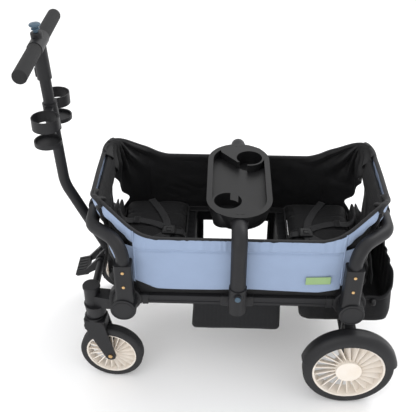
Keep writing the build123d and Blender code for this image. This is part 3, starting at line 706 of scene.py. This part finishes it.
class WAGON_OT_side_panels(BothSides, bpy.types.Operator):
    """Sew the blue outer side panels with their puckered facing"""

    bl_idname = "wagon.side_panels"
    bl_label = "Side panels"

    def make(self, side, sizes):
        name = f"side_panel_{SIDE_NAMES[side]}"
        puckers = pucker_list(11 + side, 15, PANEL_END)
        seam = sizes.rim - sizes.facing

        def place(u, w):
            a = (u * 2 - 1) * PANEL_END
            end = smoothstep(abs(a), 0.24, PANEL_END)
            hem = 0.403 + 0.003 * math.sin(a * 17 + 1.0) + (0.026 if a < 0 else 0.012) * end
            top = rim_height(a)
            z = hem + (top - hem) * w
            belly = 0.0042 * math.sin(math.pi * w) * (1 - 0.6 * end)
            facing = smoothstep(z, seam - 0.002, seam + 0.004)
            ridge = sum(h * bell(a, c, r) for c, r, h in puckers)
            drape = noise.noise(Vector((a * 9, z * 14, side * 3))) * 0.0022
            gather = noise.noise(Vector((a * 55, z * 10, side))) * 0.0018 * facing
            tug = end * math.sin(z * 62 + a * 25) * 0.0022 * (1 if a > 0 else 0.6)
            out = 0.0058 + belly + drape + tug + facing * (0.0010 + 0.0024 * ridge) + gather
            out -= 0.0020 * bell(z, seam, 0.0022)
            return wall_point(a, z, side, out)

        mesh = sheet_mesh(name, 220, 64, (0.63, 0.195), place)
        panel = keep(name, mesh, "blue_fabric", "chassis", "blue_fabric")
        thicken(panel, sizes.cloth)
        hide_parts(f"side_wall_{SIDE_NAMES[side]}")
        squashed(panel)
        rows = [seam - 0.004, seam - 0.008]
        for number, z in enumerate(rows, 1):
            points = [wall_point(a / 100, z, side, 0.0105) for a in range(-30, 31, 2)]
            squashed(stitch_row(f"{name}_seam_{number}", points, 0.0042, "thread_blue", "chassis"))


class WAGON_OT_linings(BothSides, bpy.types.Operator):
    """Hang the black lining inside each wall and round its corners"""

    bl_idname = "wagon.linings"
    bl_label = "Linings"

    def make(self, side, sizes):
        self.lining(side, sizes)
        self.binding(side, sizes)

    def lining(self, side, sizes):
        name = f"lining_{SIDE_NAMES[side]}"
        flap = 0.06

        def place(u, w):
            reach = 0.446 - 0.052 * bell(w, 0.27, 0.09) + 0.050 * smoothstep(w, 0.40, 0.80)
            a = (u * 2 - 1) * reach
            away = abs(a)
            corner = smoothstep(away, 0.30, 0.42)
            hem = FLOOR_Z - 0.0015
            if w < flap:
                inward = (1 - w / flap) * 0.034
                return wall_point(a, hem, side, -inward)
            rise = (w - flap) / (1 - flap)
            top = rim_height(a) - 0.0005
            z = hem + (top - hem) * rise
            dx, dz = CORNER_AT - away, sizes.corner - z
            spread = math.hypot(dx, dz)
            angle = math.atan2(dz, dx)
            wave = math.sin(angle * 15 + 2.2 * noise.noise(Vector((a * 7, z * 7, side * 5))))
            fan = 1.5 * wave * bell(spread, 0.085, 0.075)
            soft = noise.noise(Vector((a * 13 + z * 9, z * 21, side * 2 + 7)))
            fine = noise.noise(Vector((a * 31, z * 17 - a * 12, side * 4)))
            seam = bell(away, 0.309, 0.0022)
            edge = smoothstep(rise, 0.0, 0.1) * (1 - smoothstep(rise, 0.93, 1.0))
            folds = sizes.fold * (fan + 0.8 * corner) + 0.0038 * abs(soft) + 0.0012 * fine
            inward = 0.0030 + edge * folds
            return wall_point(a, z, side, -inward - 0.0022 * seam + 0.004 * seam * edge)

        mesh = sheet_mesh(name, 300, 72, (0.92, 0.24), place)
        lining = keep(name, mesh, "black_fabric", "chassis", "black_fabric")
        thicken(lining, sizes.cloth)
        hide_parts("corner_gussets")
        squashed(lining)

    def binding(self, side, sizes):
        steps = 120
        reach = 0.452
        points = []
        for k in range(steps + 1):
            a = (k / steps * 2 - 1) * reach
            points.append(wall_point(a, rim_height(a), side, 0.0020))
        outline = oval(0.0105, sizes.binding, 12, 0.8)
        name = f"rim_binding_{SIDE_NAMES[side]}"
        squashed(swept(name, points, outline, UP, "tape", "chassis"))


class WAGON_OT_corners(BothSides, bpy.types.Operator):
    """Face the four corners of the tub with blue cloth and pipe their edges"""

    bl_idname = "wagon.corners"
    bl_label = "Corner facings"

    def make(self, side, sizes):
        for end in BOTH_ENDS:
            self.facing(side, end, sizes)

    def facing(self, side, end, sizes):
        label = f"{END_NAMES[end]}_{SIDE_NAMES[side]}"
        depth = 0.046

        def strip(u, w):
            a = PANEL_END + 0.002 + u * 0.137
            top = rim_height(a)
            z = top - depth * (1 - 0.25 * u) * (1 - w)
            ripple = 0.0016 * math.sin(u * 21 + w * 2) * (1 - w) + 0.003 * math.sin(math.pi * w)
            return wall_point(end * a, z, side, 0.0052 + ripple)

        def lower(u, w):
            low = 0.424
            z = low + (0.560 - low) * w
            reach = 0.040 + 0.062 * w
            a = PANEL_END + 0.002 + u * reach
            belly = 0.004 * math.sin(math.pi * w) * math.sin(math.pi * u)
            return wall_point(end * a, z, side, 0.0048 + belly)

        for kind, place, flat in (("strip", strip, (0.137, depth)), ("lower", lower, (0.10, 0.136))):
            mesh = sheet_mesh(f"corner_{kind}_{label}", 36, 24, flat, place)
            piece = keep(f"corner_{kind}_{label}", mesh, "blue_fabric", "chassis", "blue_fabric")
            thicken(piece, sizes.cloth)
            squashed(piece)
        tall = rim_height(PANEL_END) - 0.436
        points = [wall_point(end * PANEL_END, 0.436 + tall * k / 24, side, 0.0085) for k in range(25)]
        squashed(swept(f"corner_piping_{label}", points, oval(0.0045, 0.0045, 8), Vector((end, 0, 0)),
                       "blue_fabric", "chassis"))


class WAGON_OT_end_bands(BothEnds, bpy.types.Operator):
    """Pad the band across each end and face its outside with blue cloth"""

    bl_idname = "wagon.end_bands"
    bl_label = "End bands"

    def make(self, end, sizes):
        body = f"{END_NAMES[end]}_hoop"
        name = f"{END_NAMES[end]}_band_pad"
        low = band_high.z - 0.088
        middle_z = (low + band_high.z) / 2 - 0.002
        plan = [Vector((x, y, 0)) for x, y in ((0.397, -0.190), (0.4165, -0.150), (0.4185, 0),
                                               (0.4165, 0.150), (0.397, 0.190))]
        total = run_length(plan)

        def route(share, out, z):
            here = softly(plan, share * total, 0.02)
            ahead = softly(plan, share * total + 0.004, 0.02) - here
            outward = Vector((ahead.y, -ahead.x, 0)).normalized()
            lean = LEAN * (1 - 0.75 * smoothstep(abs(share - 0.5) * 2, 0.6, 1.0))
            here = here + outward * (out + lean * max(0.0, z - LEAN_FROM))
            return Vector((end * here.x, here.y, z))

        def crown(share):
            return (sizes.corner - band_high.z) * smoothstep(abs(share - 0.5) * 2, 0.55, 0.92)

        points = [route(k / 44, 0.0, middle_z + 0.7 * crown(k / 44)) for k in range(45)]
        outline = oval(0.0125, 0.082, 20, 0.62)
        start = skin_mesh(name, swept_rings(points, outline, Vector((end * LEAN * 0.8, 0, 1))))

        def seams(co):
            for z in (band_high.z - 0.022, band_high.z - 0.062):
                depth = 0.0022 * bell(co.z, z, 0.003)
                side = -1 if abs(co.x) < abs(points[22].x) else 1
                co = Vector((co.x + math.copysign(-side * depth, co.x), co.y, co.z))
            wave = noise.noise(Vector((co.y * 16, co.z * 22, end * 3))) * 0.0022
            return Vector((co.x + wave, co.y, co.z + 0.4 * wave))

        pad = swollen(name, start, "pad_cloth", body, sizes.band_cap, seams)
        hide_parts(f"{END_NAMES[end]}_end_band")
        facing_name = f"{END_NAMES[end]}_band_facing"

        def place(u, w):
            z = band_high.z - 0.050 + 0.046 * w + 0.8 * crown(0.03 + 0.94 * u)
            ripple = noise.noise(Vector((u * 16, w * 3, end))) * 0.0008
            return route(0.03 + 0.94 * u, 0.0112 + ripple, z)

        flat = (total * 0.97, 0.048)
        mesh = sheet_mesh(facing_name, 90, 10, flat, place)
        facing = keep(facing_name, mesh, "blue_fabric", body, "blue_fabric")
        thicken(facing, sizes.cloth)
        tape = [route(k / 60, 0.0058, band_high.z + 0.001 + crown(k / 60)
                      - 0.016 * smoothstep(abs(k / 30 - 1), 0.88, 1.0)) for k in range(61)]
        outline = oval(0.014, sizes.binding, 12, 0.8)
        swept(f"{END_NAMES[end]}_band_binding", tape, outline, UP, "tape", body)


class WAGON_OT_seats(BothEnds, bpy.types.Operator):
    """Stuff the seat pads and low backrests"""

    bl_idname = "wagon.seats"
    bl_label = "Seats and backrests"

    def make(self, end, sizes):
        self.seat(end, sizes)
        self.backrest(end)

    def seat(self, end, sizes):
        low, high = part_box(f"{END_NAMES[end]}_seat")
        centre = (low + high) / 2
        half = (high - low) / 2
        inset = sizes.seat_cap * 0.8
        levels = [(0.0, 0.94), (0.12, 0.985), (0.5, 1.0), (0.8, 0.985), (0.94, 0.95), (1.0, 0.90)]
        rings = []
        for share, scale in levels:
            at = Vector((centre.x, centre.y, low.z + 0.002 + (2 * half.z - inset) * share))
            rings.append(rounded_ring(at, half.x * scale - inset * 0.6, half.y * scale - inset * 0.6,
                                      0.025, 96))
        start = skin_mesh(f"{END_NAMES[end]}_seat_pad", rings)
        channels = [centre.y + k * half.y * 0.36 for k in (-1.5, -0.5, 0.5, 1.5)]

        def shape(co):
            top = smoothstep(co.z, centre.z, high.z)
            groove = sum(bell(co.y, y, 0.0045) for y in channels)
            crown = 1 - ((co.x - centre.x) / half.x) ** 2 * 0.5 - ((co.y - centre.y) / half.y) ** 2 * 0.5
            sit = noise.noise(Vector((co.x * 14, co.y * 14, end))) * 0.0035
            lift = top * (0.004 * crown - 0.0055 * groove + sit - 0.002)
            return Vector((co.x, co.y, max(low.z + 0.0006, co.z + lift)))

        pad = swollen(f"{END_NAMES[end]}_seat_pad", start, "pad_cloth", "chassis", sizes.seat_cap, shape)
        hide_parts(f"{END_NAMES[end]}_seat")
        edge = rounded_ring(Vector((centre.x, centre.y, centre.z + 0.004)), half.x - inset * 0.6,
                            half.y - inset * 0.6, 0.025, 120)
        swept(f"{END_NAMES[end]}_seat_piping", edge, oval(0.0048, 0.0048, 8), Vector((0, 0, 1)), "tape",
              "chassis", loop=True)

    def backrest(self, end):
        low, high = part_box(f"{END_NAMES[end]}_backrest")
        centre = (low + high) / 2
        half = (high - low) / 2
        reach = half.y - 0.004
        points = [Vector((centre.x, centre.y + reach * (k / 30 - 1), centre.z)) for k in range(61)]
        outline = oval(half.x * 1.8, half.z * 2 - 0.006, 20, 0.5)
        start = skin_mesh(f"{END_NAMES[end]}_backrest_pad",
                          swept_rings(points, outline, UP))

        def shape(co):
            wave = noise.noise(Vector((co.y * 15, co.z * 18, end * 7))) * 0.0016
            rib = sum(bell(co.y, y, 0.004) for y in (-0.09, 0.0, 0.09)) * 0.0016
            inner = 1 if abs(co.x) > abs(centre.x) else -1
            return Vector((co.x + wave - math.copysign(inner * rib, co.x), co.y, co.z))

        pad = swollen(f"{END_NAMES[end]}_backrest_pad", start, "pad_cloth", "chassis", 0.003, shape)
        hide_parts(f"{END_NAMES[end]}_backrest")


STRAP_ROUTES = {  # places along the webbing on a seat: outwards, across, and over the seat
    "strap": ((0.394, 0.052, 0.046), (0.386, 0.053, 0.012), (0.366, 0.056, 0.0015),
              (0.330, 0.060, 0.004), (0.295, 0.052, 0.0025), (0.262, 0.036, 0.004),
              (0.243, 0.020, 0.006)),
    "lap": ((0.300, -0.185, 0.0035), (0.262, -0.120, 0.003), (0.238, -0.060, 0.003),
            (0.230, 0.0, 0.005), (0.238, 0.060, 0.003), (0.262, 0.120, 0.003),
            (0.300, 0.185, 0.0035)),
    "crotch": ((0.172, 0, -0.014), (0.180, 0, 0.0), (0.200, 0, 0.003), (0.222, 0, 0.006)),
}


class WAGON_OT_harnesses(BothEnds, bpy.types.Operator):
    """Lay the harness webbing and buckles on the seats"""

    bl_idname = "wagon.harnesses"
    bl_label = "Harnesses"

    def make(self, end, sizes):
        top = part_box("rear_seat")[1].z + 0.0045
        here = END_NAMES[end]

        def route(kind, side=1):
            return [Vector((end * x, side * y, top + z)) for x, y, z in STRAP_ROUTES[kind]]

        def webbing(name, points, steps, reach, width, slot=None):
            path = [softly(points, run_length(points) * k / steps, reach) for k in range(steps + 1)]
            return swept(name, path, oval(width, 0.0026, 12, 0.45), UP, "webbing", "chassis", slot=slot)

        def block(name, place, size, bevel, dish=0.0):
            moulded_block(name, place, size, bevel, "buckle", "chassis", dish=dish)

        for side in BOTH_SIDES:
            points = route("strap", side)
            strap = webbing(f"harness_strap_{here}_{SIDE_NAMES[side]}", points, 40, 0.012, sizes.webbing,
                            "black_fabric")
            if end == REAR and side == LEFT:
                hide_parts("harnesses")
            slide = along(points, 0.085) + Vector((0, 0, 0.0015))
            block(f"harness_slider_{here}_{SIDE_NAMES[side]}", slide, (0.020, 0.036, 0.006),
                  0.0018, 0.0018)
        webbing(f"harness_lap_{here}", route("lap"), 60, 0.02, sizes.webbing * 0.9)
        webbing(f"harness_crotch_{here}", route("crotch"), 20, 0.006, sizes.webbing)
        block(f"harness_buckle_{here}", Vector((end * 0.227, 0, top + 0.009)), (0.044, 0.042, 0.013),
              0.0042, 0.003)
        block(f"harness_button_{here}", Vector((end * 0.227, 0, top + 0.0125)), (0.017, 0.017, 0.006),
              0.0025)


class WAGON_OT_footwell(bpy.types.Operator):
    """Sew the footwell, with its window, between the middle tubes"""

    bl_idname = "wagon.footwell"
    bl_label = "Footwell"

    def execute(self, context):
        low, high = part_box("footwell")
        half_x, half_y, top = 0.1425, high.y - 0.002, high.z - 0.0006
        deep = top - low.z
        levels = [(0.05, 0.0), (0.5, 0.0), (0.80, 0.0), (0.93, 0.0), (0.985, 0.018), (1.0, 0.06)]
        bm = open_bag("footwell_bag", Vector((0, 0, low.z + 0.0035)), half_x, half_y, deep - 0.0035,
                      0.014, levels, 26, 220)
        window = [f for f in bm.faces if abs(f.calc_center_median().x) < 0.121
                  and f.calc_center_median().y > half_y - 0.004
                  and low.z + 0.036 < f.calc_center_median().z < low.z + 0.128]
        bmesh.ops.delete(bm, geom=window, context="FACES")
        for vert in bm.verts:
            up = (vert.co.z - low.z) / deep
            sway = noise.noise(Vector((vert.co.x * 12, vert.co.y * 12, vert.co.z * 9))) * 0.0032
            slack = math.sin(math.pi * min(1.0, up)) * (1 if vert.co.y < 0 else 0.3)
            inward = Vector((vert.co.x / half_x, vert.co.y / half_y, 0))
            vert.co -= inward * (0.0028 * slack + sway * slack)
            if up < 0.08:
                vert.co.z += 0.002 * noise.noise(Vector((vert.co.x * 20, vert.co.y * 20, 2))) + 0.001
        mesh = as_mesh("footwell_bag", bm)
        bag = keep("footwell_bag", mesh, "bag_cloth", "chassis", "black_fabric")
        thicken(bag, 0.0016)
        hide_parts("footwell")
        rim = rounded_ring(Vector((0, 0, top + 0.0002)), half_x + 0.001, half_y, 0.014, 160)
        swept("footwell_binding", rim, oval(0.006, 0.009, 10, 0.8), UP, "tape", "chassis", loop=True)
        frame_ring = [Vector((p.x, half_y - 0.001, low.z + 0.082 + p.y)) for p in
                      rounded_ring(Vector((0, 0, 0)), 0.124, 0.047, 0.01, 90)]
        swept("footwell_window_binding", frame_ring, oval(0.004, 0.008, 10, 0.8), Vector((0, 1, 0)),
              "tape", "chassis", loop=True)
        for end in BOTH_ENDS:
            self.flange(end, top, half_y)
        return {"FINISHED"}

    def flange(self, end, top, half_y):
        name = f"footwell_flange_{END_NAMES[end]}"

        def place(u, w):
            x = 0.143 + 0.036 * w
            y = (u * 2 - 1) * (half_y - 0.004)
            return Vector((end * x, y, top + 0.0012 - 0.0022 * (w > 0.9) + 0.0004 * math.sin(u * 90)))

        mesh = sheet_mesh(name, 120, 6, (0.428, 0.036), place)
        flap = keep(name, mesh, "bag_cloth", "chassis", "black_fabric")
        thicken(flap, 0.0014)


class WAGON_OT_basket(bpy.types.Operator):
    """Hang the gathered rear basket with its drawstring and cord lock"""

    bl_idname = "wagon.basket"
    bl_label = "Rear basket"

    def execute(self, context):
        low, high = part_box("rear_basket")
        half_y = high.y - 0.004
        x_low, x_high = low.x + 0.002, high.x - 0.006
        centre_x, half_x = (x_low + x_high) / 2, (x_high - x_low) / 2
        rim_z = low.z + 0.111
        levels = [(0.05, 0.0), (0.5, 0.0), (0.78, 0.0), (0.90, 0.01), (0.96, 0.05), (0.985, 0.12)]
        bm = open_bag("rear_basket_bag", Vector((centre_x, 0, low.z + 0.003)), half_x, half_y,
                      rim_z - low.z - 0.003, 0.03, levels, 22, 260)
        for vert in bm.verts:
            up = min(1.0, (vert.co.z - low.z) / (rim_z - low.z))
            out = Vector(((vert.co.x - centre_x) / half_x, vert.co.y / half_y, 0))
            turn = math.atan2(vert.co.y, vert.co.x - centre_x)
            round_it = turn * 22 + 2.5 * noise.noise(Vector((turn * 3, 0, 1)))
            gather = math.sin(round_it) * 0.0030 * smoothstep(up, 0.35, 0.95)
            bulge = 0.007 * math.sin(math.pi * up)
            soft = 0.0030 * noise.noise(Vector((vert.co.x * 14, vert.co.y * 14, vert.co.z * 12)))
            if up > 0.04:
                vert.co += out * (gather + soft + bulge - 0.003)
            rear = smoothstep(vert.co.x, x_high - 0.05, x_high) * smoothstep(up, 0.5, 1.0)
            wide = 1 - smoothstep(abs(vert.co.y), 0.13, 0.19)
            vert.co.z += rear * (0.026 + 0.036 * wide)
        mesh = as_mesh("rear_basket_bag", bm)
        bag = keep("rear_basket_bag", mesh, "bag_cloth", "chassis", "black_fabric")
        thicken(bag, 0.0016)
        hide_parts("rear_basket")
        edge = []
        middle = Vector((centre_x, 0, rim_z))
        for point in rounded_ring(middle, half_x - 0.001, half_y - 0.001, 0.03, 260):
            turn = math.atan2(point.y, point.x - centre_x)
            rear = smoothstep(point.x, x_high - 0.05, x_high)
            wide = 1 - smoothstep(abs(point.y), 0.13, 0.19)
            wave = 0.0022 * math.sin(turn * 22 + 2.5 * noise.noise(Vector((turn * 3, 0, 1))))
            out = Vector(((point.x - centre_x) / half_x, point.y / half_y, 0))
            edge.append(point + out * wave + Vector((0, 0, rear * (0.026 + 0.036 * wide))))
        swept("rear_basket_hem", edge, oval(0.0075, 0.016, 12, 0.9), UP, "bag_cloth", "chassis",
              loop=True)
        lock = Vector((0.432, -half_y - 0.006, rim_z - 0.012))
        moulded_block("rear_basket_cord_lock", lock, (0.016, 0.012, 0.022), 0.004, "buckle", "chassis")
        return {"FINISHED"}


class WAGON_OT_curtains(bpy.types.Operator):
    """Hang the end curtains from the hoop bars"""

    bl_idname = "wagon.curtains"
    bl_label = "End curtains"

    def execute(self, context):
        for end in BOTH_ENDS:
            self.curtain(end)
        return {"FINISHED"}

    def curtain(self, end):
        name = f"{END_NAMES[end]}_curtain"
        top = Vector((end * (BAR_X - BAR_R - 0.0012), 0, BAR_Z + 0.004))
        low = Vector((end * 0.4185, 0, 0.396))

        def place(u, w):
            here = low.lerp(top, w)
            half = 0.092 + 0.103 * (1 - smoothstep(w, 0.16, 0.36)) + 0.030 * smoothstep(w, 0.6, 1.0)
            y = (u * 2 - 1) * half
            loose = math.sin(math.pi * w)
            fold = noise.noise(Vector((y * 24, w * 2.2, end * 3))) * 0.0045 * loose
            return Vector((here.x + fold, y, here.z + 0.003 * math.sin(u * 7) * (1 - w)))

        tall = (top - low).length
        mesh = sheet_mesh(name, 90, 60, (0.30, tall), place)
        curtain = keep(name, mesh, "black_fabric", None, "black_fabric")
        thicken(curtain, 0.0013)
        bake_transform(curtain)


class WAGON_OT_hoop_straps(bpy.types.Operator):
    """Loop the webbing straps and their buckles round the hoop bars"""

    bl_idname = "wagon.hoop_straps"
    bl_label = "Hoop straps"

    def execute(self, context):
        for end in BOTH_ENDS:
            for side in BOTH_SIDES:
                self.strap(end, side)
        return {"FINISHED"}

    def strap(self, end, side):
        body = f"{END_NAMES[end]}_hoop"
        label = f"{END_NAMES[end]}_{SIDE_NAMES[side]}"
        y = side * STRAP_Y
        bar = Vector((end * BAR_X, y, BAR_Z))
        outline = oval(0.024, 0.0022, 12, 0.45)
        radius = BAR_R + 0.0016
        points = []
        for k in range(37):
            angle = math.radians(-62 + 10 * k)
            turn = Vector((end * radius * math.cos(angle), 0, radius * math.sin(angle)))
            points.append(bar + turn)
        loop = swept(f"hoop_strap_{label}", points[:31], outline, lambda k: points[k] - bar, "webbing",
                     body, slot="black_fabric")
        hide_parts(f"{END_NAMES[end]}_hoop_straps")
        tail = [bar + Vector((end * x, 0, z)) for x, z in
                ((0.0145, -0.016), (0.010, -0.027), (0.006, -0.045), (0.005, -0.078))]
        path = [softly(tail, run_length(tail) * k / 24, 0.006) for k in range(25)]
        swept(f"hoop_strap_tail_{label}", path, outline, Vector((end, 0, 0)), "webbing", body)
        upright = Matrix.Rotation(math.radians(90 * end), 4, "Y")
        moulded_block(f"hoop_buckle_{label}", Vector((end * (BAR_X + 0.0065), y, BAR_Z - 0.060)),
                      (0.034, 0.036, 0.011), 0.0032, "buckle", body, upright, dish=0.0022)


class WAGON_OT_tag(bpy.types.Operator):
    """Stitch the plain green tag to the left side panel"""

    bl_idname = "wagon.tag"
    bl_label = "Side tag"

    def execute(self, context):
        low, high = Vector((0.205, 0.4370)), Vector((0.281, 0.4650))

        def place(u, w):
            a = low.x + (high.x - low.x) * u
            z = low.y + (high.y - low.y) * w + 0.0025 * u
            return wall_point(a, z, LEFT, 0.0140 - 0.0018 * (u - 0.3))

        mesh = sheet_mesh("side_tag", 36, 12, (0.076, 0.028), place)
        tag = keep("side_tag", mesh, "tag_cloth", "chassis")
        thicken(tag, 0.0012)
        squashed(tag)
        return {"FINISHED"}


class WAGON_OT_studio(bpy.types.Operator):
    """Set the pale floor, the soft lights and the camera"""

    bl_idname = "wagon.studio"
    bl_label = "Studio"

    def execute(self, context):
        scene = context.scene
        scene.view_settings.view_transform = "Standard"
        floor_finish = Finish("studio_floor", (0.96, 0.96, 0.965), 0.9)
        grain = floor_finish.grain(floor_finish.object_point(), 3.0)
        floor_finish.set(base_color=floor_finish.tint(grain, 0.995))
        bm = bmesh.new()
        bmesh.ops.create_grid(bm, x_segments=8, y_segments=8, size=14.0)
        floor = bpy.data.objects.new("studio_floor", as_mesh("studio_floor", bm))
        floor.data.materials.append(floor_finish.material)
        scene.collection.objects.link(floor)
        world = bpy.data.worlds.new("studio_air")
        world.use_nodes = True
        air = world.node_tree.nodes["Background"]
        air.inputs[0].default_value = (1.0, 1.0, 1.0, 1.0)
        air.inputs[1].default_value = WORLD_LIGHT
        scene.world = world
        for lamp in LAMPS:
            self.lamp(scene, *lamp)
        self.camera(scene)
        return {"FINISHED"}

    def lamp(self, scene, name, place, size, power):
        light = bpy.data.lights.new(name, "AREA")
        light.energy = power
        light.size = size
        obj = bpy.data.objects.new(name, light)
        obj.location = place
        aim = Vector((0.0, 0.0, 0.4)) - Vector(place)
        obj.rotation_euler = aim.to_track_quat("-Z", "Y").to_euler()
        scene.collection.objects.link(obj)

    def camera(self, scene):
        lens = bpy.data.cameras.new("camera")
        lens.lens = EYE_LENS
        lens.sensor_width = 36.0
        eye = bpy.data.objects.new("camera", lens)
        pitch, yaw, roll = (math.radians(angle) for angle in EYE_TURN)
        ahead = Vector((math.sin(yaw) * math.cos(pitch), math.cos(yaw) * math.cos(pitch),
                        -math.sin(pitch)))
        level = Vector((math.cos(yaw), -math.sin(yaw), 0.0))
        above = level.cross(ahead)
        right = level * math.cos(roll) + above * math.sin(roll)
        up = above * math.cos(roll) - level * math.sin(roll)
        turn = Matrix((right, up, -ahead)).transposed().to_4x4()
        eye.matrix_world = Matrix.Translation(EYE) @ turn
        scene.collection.objects.link(eye)
        scene.camera = eye


class WAGON_PT_panel(bpy.types.Panel):
    """The wagon's pieces and its sizes and colours"""

    bl_idname = "WAGON_PT_panel"
    bl_label = "Pull wagon"
    bl_space_type = "VIEW_3D"
    bl_region_type = "UI"
    bl_category = "Wagon"

    def draw(self, context):
        for step in STEPS:
            self.layout.operator(step.bl_idname)
        for group in (context.scene.wagon_sizes, context.scene.wagon_colours):
            for name in group.__annotations__:
                self.layout.prop(group, name)


STEPS = (
    WAGON_OT_studio,
    WAGON_OT_paint,
    WAGON_OT_side_panels,
    WAGON_OT_linings,
    WAGON_OT_corners,
    WAGON_OT_end_bands,
    WAGON_OT_seats,
    WAGON_OT_harnesses,
    WAGON_OT_footwell,
    WAGON_OT_basket,
    WAGON_OT_curtains,
    WAGON_OT_hoop_straps,
    WAGON_OT_tag,
)
CLASSES = (WagonSizes, WagonColours, *STEPS, WAGON_PT_panel)


def register():
    for cls in CLASSES:
        bpy.utils.register_class(cls)
    bpy.types.Scene.wagon_sizes = PointerProperty(type=WagonSizes)
    bpy.types.Scene.wagon_colours = PointerProperty(type=WagonColours)


def unregister():
    del bpy.types.Scene.wagon_colours
    del bpy.types.Scene.wagon_sizes
    for cls in reversed(CLASSES):
        bpy.utils.unregister_class(cls)


def main():
    register()
    for step in STEPS:
        group, name = step.bl_idname.split(".")
        getattr(getattr(bpy.ops, group), name)()


if __name__ == "__main__":
    main()
